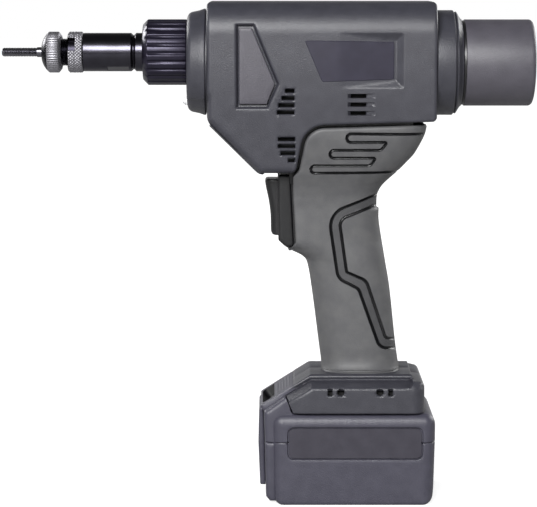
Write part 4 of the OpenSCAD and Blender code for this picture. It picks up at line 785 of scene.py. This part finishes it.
# The battery's nylon: the same grain, a shade lighter and bluer than the housing's
case_nylon = finish_of("glass_filled_nylon_blue_grey", "#383742", "#3e3d48", 0.42, 0.6, 0.15)
split_z = 41.0
parting = 0.15
lower_top, upper_low = split_z - parting, split_z + parting
case_half, case_top, case_edge = 36.5, 59.4, 6.5
lower_outline = rounded([(-51.6, 0, 7), (51.4, 0, 7), (52.3, lower_top, 0.3), (-52.3, lower_top, 0.3)])
upper_outline = rounded([(-52.3, upper_low, 0.3), (52.3, upper_low, 0.3), (52.5, case_top, 7),
                         (-52.5, case_top, 7)])
case_rim = rounded([(51.2, -9, 0), (52.5, case_top, 7), (-52.5, case_top, 7), (-51.4, -9, 0)])
case_foot = rounded([(-51.6, 9, 0), (-51.6, 0, 7), (51.4, 0, 7), (51.6, 9, 0)])
battery_label = rounded([(-42.6, 29.7, 4.5), (44.6, 29.7, 4.5), (44.6, 51.4, 4.5), (-42.6, 51.4, 4.5)])
# The recess has a gutter round it, deeper than its floor
label_sunk, gutter_sunk = 0.9, 1.8
gutter_steps = (0, 0.4, 1.1, 1.4)


def case_height(x, z):
    """The cases' side: rounded edges, the label recess and a shallow groove at the parting line."""
    y = case_half - edge_fall(gap_to(x, z, case_rim), case_edge) - edge_fall(gap_to(x, z, case_foot), 1.8)
    y -= np.interp(depth_in(x, z, battery_label), gutter_steps, [0, gutter_sunk, gutter_sunk, label_sunk])
    return y - np.clip(0.45 - np.abs(z - split_z), 0, 0.3)


def block(outline, half, radius):
    """A block across the whole width, with its side edges rounded."""
    return relief(outline, lambda x, z: half - edge_fall(gap_to(x, z, outline, True), radius), (),
                  [radius * k for k in (0.04, 0.15, 0.35, 0.65, 1)], 4.0, side=0)


def case_sides(outline):
    """Both sides of a case, with the same rows of points on each."""
    lines = [(battery_label, True, (-0.2, 0.02, 0.4, 1.1, 1.4), 1.5),
             ([(-50, split_z), (50, split_z)], False, (-0.5, -0.25, 0.25, 0.5), 2.0)]
    return relief(outline, case_height, lines, (0.1, 0.35, 0.8, 1.5, 2.5, 4, 6.5), 4.0, side=0,
                  rows=(0.25, 0.5, 0.75))


front_half = 33.4
lower_front = rounded([(-56.2, 5, 1), (-53.6, 1.8, 0.8), (-49, 1.8, 0.5), (-49, lower_top, 0.3),
                       (-57, lower_top, 0.3)], 3)
lower = joined(case_sides(lower_outline), block(lower_front, front_half, 2.5))
tub = mesh_object("battery_tub", *lower, case_nylon)
fit(tub, "battery", "battery_lower_case")

upper_front = rounded([(-57, upper_low, 0.3), (-40, upper_low, 0.3), (-39.4, 59.3, 0.3), (-40.1, 60.8, 0.5),
                       (-43.6, 70, 0.6), (-57.6, 60.4, 3)], 4)
front_slope = [(-56.6, 30), (-57.6, 60.4), (-44.8, 69.5)]
slope_round, front_inside = 3.2, 20.6


def front_height(x, z):
    """The front part of the upper case, rounded along its slope only."""
    return front_half - edge_fall(gap_to(x, z, front_slope), slope_round)


# The upper cover's front rises as a ramp to the foot, with a thumb hollow and ridges on it
ramp_from, ramp_to = np.array([-59.2, 61.8]), np.array([-37.9, 75.3])
ramp_long = np.linalg.norm(ramp_to - ramp_from)
way = (ramp_to - ramp_from) / ramp_long
ramp_half, ramp_thick, ramp_round = 24.8, 1.2, 0.8
thumb_from, thumb_to, thumb_half, thumb_deep = 1.8, 10.8, 20, 6
ridge_from, ridge_pitch, ridge_tall = 12.3, 2.2, 0.3


def on_ramp(u, h):
    """The (x, z) at u along the ramp and h above it."""
    return ramp_from[0] + way[0] * u - way[1] * h, ramp_from[1] + way[1] * u + way[0] * h


crown = rounded([(-55.4, 56.9, 0.2), (-41.4, 57.2, 0.5), (-41.8, 60.6, 0.5), (-45, 69.6, 1),
                 (-40.2, 73.1, 1), (*on_ramp(ramp_long - 0.3, -0.3), 0.3), (*on_ramp(12.2, -0.3), 0),
                 (*on_ramp(12.2, -6), 0), (*on_ramp(0.6, -6), 0)], 3)
front_middle = [(-57, upper_low), (-40, upper_low), (-40, 56.8), (-57.2, 56.8)]
ramp_sheet = rounded([(0, -ramp_half, 1.5), (ramp_long, -ramp_half, 0.6), (ramp_long, ramp_half, 0.6),
                      (0, ramp_half, 1.5)], 4)
thumb = rounded([(thumb_from, -thumb_half, 3), (thumb_to, -thumb_half, 1), (thumb_to, thumb_half, 1),
                 (thumb_from, thumb_half, 3)], 4)


def ramp_back(u, v):
    """Underside of the ramp's sheet, thick round the hollow."""
    return np.interp(u, [0, 11, 14, ramp_long], [-6.8, -6.8, -1.5, -1.5])


def ramp_height(u, v):
    """Top of the ramp's sheet, with the hollow and the ridges across."""
    y = ramp_thick - edge_fall(gap_to(u, v, ramp_sheet, True), ramp_round)
    y = y - thumb_deep * np.clip(depth_in(u, v, thumb) / 0.8, 0, 1)
    ridge = np.abs((u / ridge_pitch) % 1 - 0.5) * 2
    return y + ridge_tall * ridge * ((u > ridge_from) & (u < ramp_long - 2) & (np.abs(v) < thumb_half))


ramp_lines = [([(u, -thumb_half), (u, thumb_half)], False, (0,), 4.0)
              for u in np.arange(12.1, ramp_long - 2, ridge_pitch / 4)]
ramp_lines += [(thumb, True, (0, 0.4, 0.8), 1.2)]
points, faces = relief(ramp_sheet, ramp_height, ramp_lines, (0.1, 0.3, ramp_round), inner=ramp_back)
ramp_x, ramp_z = on_ramp(points[:, 0], -points[:, 1])
ramp = np.stack([ramp_x, points[:, 2], ramp_z], 1), [list(reversed(f)) for f in faces]

# The tongue that slides into the foot has four slots for the terminal blades
tongue_half, tongue_top, slot_pitch, slot_half, slot_floor = 26.5, 67, 9.0, 2.3, 60.5
tongue_line = [(-tongue_half, 62), (-23.5, 61.9), (-23.5, 57), (23.5, 57), (23.5, 61.9), (tongue_half, 62),
               (tongue_half, tongue_top)]
for k in (1.5, 0.5, -0.5, -1.5):
    right, left = k * slot_pitch + slot_half, k * slot_pitch - slot_half
    tongue_line += [(right, tongue_top), (right, slot_floor), (left, slot_floor), (left, tongue_top)]
tongue_line.append((-tongue_half, tongue_top))
solid_line = [p for p in tongue_line if abs(p[0]) > 22 or p[1] < 60]
tongue_front, slot_end, tongue_rear = -38, 1.6, 42


def bar_along(line, x0, x1):
    """A straight bar along X with a closed (y, z) section."""
    n = len(line)
    points = np.array([(x, y, z) for x in (x0, x1) for y, z in line], float)
    faces = [[i, (i + 1) % n, n + (i + 1) % n, n + i] for i in range(n)]
    return points, faces + [list(range(n))[::-1], list(range(n, 2 * n))]


def in_thumb(x, y, z):
    """True in the hollow, which is painted near black as painted shade."""
    u = (x - ramp_from[0]) * way[0] + (z - ramp_from[1]) * way[1]
    under = (z - ramp_from[1]) * way[0] - (x - ramp_from[0]) * way[1]
    return (u > 1.7) & (u < 10.9) & (np.abs(y) < 20.2) & (under < 0.4) & (under > -5.2)


shoulders = [relief(upper_front, front_height, (), (0.15, 0.5, 1.1, 2, slope_round), 4.0, side=side,
                    inner=front_inside) for side in (-1, 1)]
upper = joined(case_sides(upper_outline), *shoulders, block(front_middle, 21, 0.3), block(crown, 24.9, 0.8),
               ramp, bar_along(tongue_line, slot_end, tongue_rear),
               bar_along(solid_line, tongue_front, slot_end))
cover = mesh_object("battery_cover", *upper, case_nylon, 40, [(dark_nylon_and_shade, in_thumb)])
fit(cover, "battery", "battery_upper_case")

# Polyester film, satin: a bare film lies in the label recess on each side and covers the parting line there
battery_film = finish_of("polyester_film_satin", "#2d2b34", "#33313a", 0.4, 0.6, 0.004)
film_outline = beside(battery_label, 1.3, True)
film_face, film_back = case_half - label_sunk + 0.3, case_half - label_sunk - 0.3
for side, name in halves:
    sticker = relief(film_outline, lambda x, z: np.full(x.shape, film_face), (), (0.3,), 8.0, edge=2.0,
                     side=side, inner=film_back)
    film = mesh_object(name + "_battery_label", *sticker, battery_film)
    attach(film, "battery")


# Battery release button: the plate on the battery's front, with a tab that holds the latch.
# Same nylon as the cases; it is pushed down by 4 mm against a wire spring.

button_plate = rounded([(-60, 9.6, 1), (-56.45, 9.6, 0.4), (-57.15, 41, 0), (-57.75, 61.2, 0.4),
                        (-60.6, 61.2, 1.5), (-61.2, 38, 20)], 4)
button_tab = rounded([(-58.6, 50, 0.3), (-50.6, 50, 0.5), (-50.6, 55, 0.5), (-58.6, 55, 0.3)], 3)
latch = joined(block(button_plate, 20, 1.5), block(button_tab, 8, 0.5))
button = mesh_object("release_plate", *latch, case_nylon)
fit(button, "release_button", "release_button")
# Its spring stands under the tab
spring("button_spring", "battery", turns=3, axis=2, fixed=min)


# Front cover: a round cap on the head's front, with the work light set in its lower edge.
# Same nylon; the part below the light is stepped in.

nose_z = 289.0
nose_bore = 17.3


def cover_shape(x, r, a):
    """The bore lies round the nose's axis, above the cover's own, and the lowest part is stepped in."""
    if r < 18:
        rise = nose_z - main_z
        return rise * math.sin(a) + math.sqrt(nose_bore ** 2 - (rise * math.cos(a)) ** 2)
    return r - 0.9 * min(max((-22.4 - r * math.sin(a)) / 0.4, 0), 1)


def arc(x, r, radius, start, stop, steps):
    """Profile points on an arc about (x, r), with angles in degrees from +X towards +r."""
    angles = np.radians(np.linspace(start, stop, steps))
    return [(x + radius * math.cos(t), r + radius * math.sin(t)) for t in angles]


profile = [(-93.6, nose_bore), (-106.5, nose_bore), (-106.5, 22)] + arc(-102.1, 28.2, 4.4, 180, 105, 9)
profile += [(-99, 33.3)] + arc(-95.4, 33.6, 0.9, 105, 0, 5) + [(-94.5, 32.6), (-93.6, 32.6)]
front_cover = mesh_object("cover", *lathe(profile, main_z, 144, cover_shape), nylon)
fit(front_cover, "housing", "front_cover")

# Clear epoxy, cast: the glossy, milky bead of the work light
epoxy = finish_of("clear_epoxy_glossy", "#f2f2f4", "#fafafc", 0.1, 3.0, 0.0,
                  **{"Transmission Weight": 0.35, "IOR": 1.5})
light_z = 257.7
profile = [(-109.9, 0)] + arc(-107.4, 0.0, 2.5, 172, 90, 9) + [(-101, 2.5), (-100.5, 2.2), (-100.5, 0)]
lens = mesh_object("light_lens", *lathe(profile, light_z, 32), epoxy)
fit(lens, "housing", "work_light")


# Rear flange and rear cap: a ring screwed to the head's rear and the motor's cap screwed into it.
# Both moulded in nylon, the flange in the head's grey and the cap in the lighter shade of the side panels.

profile = [(51.7, 29), (51.7, 33.3), (52, 33.5)] + arc(62.7, 32.7, 0.8, 90, 20, 4)
profile += [(63.6, 31.6), (64.2, 31.4), (64.5, 32.4), (64.9, 32.6), (65.3, 32.4), (67.4, 29), (68, 28.2),
            (68.6, 27.8), (68.8, 25), (60, 25), (60, 29)]
flange = mesh_object("flange", *lathe(profile, main_z, 144), nylon, 30)
fit(flange, "housing", "rear_flange")

cap_neck_end = 70.45
profile = [(111.9, 0), (111.9, 24), (66, 24), (66, 24.6), (68.9, 24.8), (69.1, 26.9), (70.4, 27)]
profile += arc(71, 27, 0.6, 180, 90, 4) + arc(111.6, 24.8, 2.8, 90, 0, 8) + [(114.4, 0)]
# The neck between the flange and the cap is painted near black, a painted shade
cap = mesh_object("cap", *lathe(profile, main_z, 144), panel_nylon, 40,
                  [(dark_nylon_and_shade, lambda x, y, z: x < cap_neck_end)])
fit(cap, "housing", "rear_cap")


# Fluted collar: the ring that sets the stroke, turned by hand against the front cover.
# Aluminium, turned and anodised, with 24 milled flutes.

# Black anodised aluminium: blue-black, with narrow highlights along the flutes
anodised = finish_of("aluminium_black_anodised", "#1e1b29", "#242130", 0.28, 0.3, 0.002, 0.6)
flutes, flute_deep, flute_start, flute_run_in = 24, 1.1, -132, 1.2


def fluted(x, r, a):
    """The outside is cut by flutes that run out towards the nose."""
    deep = max(0.0, math.cos(flutes * a) - 0.1) ** 0.6
    start = min(max((x - flute_start) / flute_run_in, 0), 1)
    return r - (flute_deep * deep * start if r > 17.5 else 0)


profile = [(-106.8, 17.1), (-134.8, 17.1), (-134.8, 17.7), (-132, 20.6)] + arc(-131.3, 20.3, 0.7, 135, 90, 4)
profile += [(-130.7, 21), (-120, 21)] + arc(-107.5, 20.3, 0.7, 90, 0, 4)
collar = mesh_object("collar", *lathe(profile, nose_z, 288, fluted), anodised, 60)
fit(collar, "collar", "fluted_collar")


# Nose barrel: a turned tube with a groove at its root, two spanner flats and a threaded neck.
# Steel, blackened and polished.

# Blackened steel, polished: dark, with mirror-like streaks along the tube
black_steel = finish_of("steel_blackened_polished", "#3a393f", "#403f46", 0.25, 0.8, 0.001, 1.0)
flat_turn = math.radians(-112)
flat_front, flat_rear, flat_half = -157.6, -143.9, 11.4


def turn_from(a, start):
    """Angle from a to the nearer of two opposite places on a ring."""
    return min(abs((a - start + k * math.pi + math.pi) % (2 * math.pi) - math.pi) for k in (0, 1))


def flatted(x, r, a):
    """Two flats across the tube."""
    if flat_front < x < flat_rear and r > 10:
        return min(r, flat_half / max(math.cos(turn_from(a, flat_turn)), 0.2))
    return r


def saw(t):
    """A wave of straight flanks, 1 at whole numbers and 0 halfway between."""
    return 2 * abs(t % 1 - 0.5)


neck = [(-192.8 + 0.25 * k, 8.8 - 0.5 * saw(0.25 * k)) for k in range(76)]
profile = [(-134.8, 6.5), (-192.8, 6.5)] + neck + [(-173.2, 8.2), (-173.2, 11.4)]
profile += arc(-172.5, 11.6, 0.7, 165, 90, 4)
profile += [(-157.65, 12.3), (-157.55, 12.3), (-143.95, 12.3), (-143.85, 12.3), (-142.5, 12.3), (-141, 10.9),
            (-140.8, 10.9), (-139.3, 12.3), (-135.2, 12.3), (-134.8, 11.9)]
barrel = mesh_object("barrel", *lathe(profile, nose_z, 128, flatted), black_steel)
fit(barrel, "housing", "nose_barrel")


# Lock ring and nosepiece: the ring locks the nosepiece on the barrel's thread once its reach is set.
# Steel, turned; the ring has a cross knurl and two spanner notches, the nosepiece a straight knurl.

# Steel, gun-metal finish: a satin mid grey that catches the light on the knurls
gunmetal = finish_of("steel_gunmetal_satin", "#8a898e", "#939297", 0.5, 0.5, 0.002, 1.0)
# Steel painted near black and a little glossy: a painted shade in the ring's notches and on the nosepiece's
# front
painted_shade_steel = finish_of("steel_painted_shade_dark", "#1d1c22", "#232228", 0.3, 0.4, 0.001, 1.0)
notch_turn = math.radians(180 - 26.5)
notch_half, notch_floor, notch_end = 4.7, 10.4, -177.9
cross_ridges, cross_pitch, cross_deep = 22, 2.1, 0.75


def cross_knurled(x, r, a):
    """Two crossing sets of ridges, and the notches."""
    if r > 12 and turn_from(a, notch_turn) * r < notch_half and x < notch_end:
        return notch_floor
    if r > 13.2:
        around, along = cross_ridges * a / math.pi, x / cross_pitch
        return r - cross_deep * max(saw(around + along), saw(around - along))
    return r


def in_notch(x, y, z):
    """True in the notches, which are painted darker as painted shade."""
    r = np.hypot(y, z - nose_z)
    return (r < 12.6) & (r > 9.6) & (x > -182.8) & (x < -177.7)


profile = [(-173.3, 9.0), (-182.9, 9.0), (-182.9, 12.0), (-182.3, 12.7), (-182.1, 12.8)]
profile += [(-181.7 + 0.32 * k, 13.3) for k in range(25)] + [(-173.8, 12.8), (-173.3, 12.3)]
ring = mesh_object("lock_ring_knurled", *lathe(profile, nose_z, 288, cross_knurled), gunmetal, 45,
                   [(painted_shade_steel, in_notch)])
fit(ring, "lock_ring", "lock_ring")

straight_ridges, straight_deep = 26, 0.4
nose_tip_end = -196.3


def straight_knurled(x, r, a):
    """Ridges along the nosepiece's widest part."""
    return r - straight_deep * saw(straight_ridges * a / math.pi) if r > 12 and x > -197 else r


profile = [(-187.1, 9.2), (-197, 9.2), (-197, 5.8), (-199.8, 5.8), (-199.4, 7.1), (-198.6, 8.9),
           (-197.6, 10.4), (-196.9, 11.3), (-196.2, 12.1), (-195, 13.1), (-189, 13.1), (-188.7, 12.8),
           (-187.1, 10.8)]
# The nosepiece's front is painted near black, a painted shade
nosepiece = mesh_object("nosepiece_knurled", *lathe(profile, nose_z, 336, straight_knurled), gunmetal, 60,
                        [(painted_shade_steel, lambda x, y, z: x < nose_tip_end)])
fit(nosepiece, "nosepiece", "nosepiece")


# Mandrel: the threaded pin that a rivet nut is spun on to, M6 with a plain shank behind the thread.
# Alloy steel with a rolled thread, black oxide, worn by use.

# Steel, black oxide worn down: dark grey with bright crests
thread_steel = finish_of("steel_black_oxide_worn", "#68676d", "#6f6e74", 0.3, 0.4, 0.001, 1.0)
thread_radius, thread_deep = 3, 0.5


def threaded(x, r, a):
    """A thread of 1 mm pitch."""
    return r - thread_deep * saw(x + a / (2 * math.pi)) if r == thread_radius else r


profile = [(-225.5, 0), (-225.5, 2), (-224.9, 2.5)] + [(-224.5 + 0.25 * k, thread_radius) for k in range(87)]
profile += [(-202.95, 2.6), (-202.9, 3.2), (-170, 3.2), (-169.5, 2.7), (-169.5, 0)]
mandrel = mesh_object("mandrel_pin", *lathe(profile, nose_z, 32, threaded), thread_steel, 60)
fit(mandrel, "mandrel", "mandrel")


# Works inside: the gears, screw, motors, switch, boards and cells, shown as they were built.
# Each takes the finish of what it is made of.

# Die-cast aluminium: a dull pale grey with a cast skin
cast_alloy = finish_of("aluminium_die_cast", "#77777a", "#808083", 0.5, 0.6, 0.02, 0.9)
# Brass, machined: warm yellow and fairly bright
brass = finish_of("brass_machined", "#b08d4a", "#bb9852", 0.3, 0.5, 0.004, 1.0)
# Copper alloy, stamped: red-brown strip with a rolled sheen
copper = finish_of("copper_alloy_stamped", "#b87a52", "#c2855d", 0.32, 0.5, 0.004, 1.0)
# Glass-epoxy laminate: green solder mask, slightly glossy
laminate = finish_of("glass_epoxy_laminate_green", "#1f4a32", "#24533a", 0.4, 0.8, 0.01)
# PVC film shrunk on the cells: smooth blue
cell_film = finish_of("pvc_cell_film", "#2e5c86", "#336492", 0.35, 0.6, 0.004)
finishes = {"moulded_nylon": nylon, "soft_grip": elastomer, "dark_plastic": dark_nylon_and_shade,
            "label_plate": label_film, "clear_epoxy": epoxy, "black_steel": black_steel,
            "gunmetal_steel": gunmetal, "black_anodised": anodised, "bright_steel": bright_steel,
            "cast_alloy": cast_alloy, "brass": brass, "copper": copper, "circuit_board": laminate,
            "cell_wrap": cell_film}
for part in frame["record"]["subparts"]:
    mesh = frame["nodes"][part["node"]].data
    mesh.materials.clear()
    mesh.materials.append(finishes[part["material_slot"]])


# Ground and light: a white sweep all round with a dark room above it, a softbox in front, to the left,
# and two weaker ones behind, wide apart, which light the far side.
# The lamps are at a plain level, so the tool's colours come out as they are written.

floor_paint = bpy.data.materials.new("matt_white_sweep")
floor_paint.use_nodes = True
floor_paint.node_tree.nodes.clear()
path = add(floor_paint, "ShaderNodeLightPath", {}, {})
paint = add(floor_paint, "ShaderNodeBsdfDiffuse", {"Color": rgb("#a8a8a8")}, {})
place = add(floor_paint, "ShaderNodeTexCoord", {}, {})
reach = add(floor_paint, "ShaderNodeVectorMath", {"operation": "LENGTH"}, {0: place.outputs["Object"]})
fade = add(floor_paint, "ShaderNodeMapRange",
           {"From Min": 0.25, "From Max": 0.9, "To Min": 0.78, "To Max": 1.0},
           {"Value": reach.outputs["Value"]})
shine = add(floor_paint, "ShaderNodeMath", {"operation": "MULTIPLY"},
            {0: path.outputs["Is Camera Ray"], 1: fade.outputs["Result"]})
glow = add(floor_paint, "ShaderNodeEmission", {}, {"Strength": shine.outputs[0]})
both = add(floor_paint, "ShaderNodeAddShader", {}, {0: paint.outputs[0], 1: glow.outputs[0]})
add(floor_paint, "ShaderNodeOutputMaterial", {}, {"Surface": both.outputs[0]})
floor_half = 9000
floor_corners = [(x, y, 0) for x, y in oblong(-floor_half, floor_half, -floor_half, floor_half)]
floor = mesh_object("floor", floor_corners, [[0, 1, 2, 3]], floor_paint)

world = bpy.data.worlds.new("studio")
bpy.context.scene.world = world
world.use_nodes = True
world.node_tree.nodes.clear()
path = add(world, "ShaderNodeLightPath", {}, {})
place = add(world, "ShaderNodeTexCoord", {}, {})
split = add(world, "ShaderNodeSeparateXYZ", {}, {"Vector": place.outputs["Generated"]})
rise = add(world, "ShaderNodeValToRGB", {}, {"Fac": split.outputs["Z"]})
rise.color_ramp.elements[0].position = 0.15
rise.color_ramp.elements[0].color = (0.78, 0.78, 0.78, 1)
rise.color_ramp.elements[1].position = 0.5
rise.color_ramp.elements[1].color = (0.1, 0.1, 0.1, 1)
seen = add(world, "ShaderNodeBackground", {"Color": (1, 1, 1, 1), "Strength": 1.0}, {})
soft = add(world, "ShaderNodeBackground", {"Strength": 1.0}, {"Color": rise.outputs["Color"]})
either = add(world, "ShaderNodeMixShader", {},
             {0: path.outputs["Is Camera Ray"], 1: soft.outputs[0], 2: seen.outputs[0]})
add(world, "ShaderNodeOutputWorld", {}, {"Surface": either.outputs[0]})


def lamp(name, power, place):
    """A softbox that faces the tool."""
    light = bpy.data.lights.new(name, "AREA")
    light.shape = "RECTANGLE"
    light.energy = power
    light.size = 0.9
    light.size_y = 0.7
    piece = bpy.data.objects.new(name, light)
    piece.location = place
    piece.rotation_euler = (Vector((-0.05, 0, 0.2)) - Vector(place)).to_track_quat("-Z", "Y").to_euler()
    bpy.context.scene.collection.objects.link(piece)


lamp("softbox", 65, (-0.45, -1.72, 1.15))
lamp("back_softbox_left", 26, (-1.75, 1.35, 1.0))
lamp("back_softbox_right", 26, (1.75, 1.35, 1.0))

# The lens gives the photograph's frame, 537 pixels wide, at a focal length of 2100 of them
view = bpy.data.cameras.new("camera")
view.sensor_width = 36
view.lens = 36 * 2100 / 537
camera = bpy.data.objects.new("camera", view)
camera.location = (-0.0546, -1.3527, 0.3415)
camera.rotation_euler = (Vector((-0.0546, 0, 0.1586)) - camera.location).to_track_quat("-Z", "Y").to_euler()
bpy.context.scene.collection.objects.link(camera)
bpy.context.scene.camera = camera
bpy.context.scene.view_settings.view_transform = "Standard"
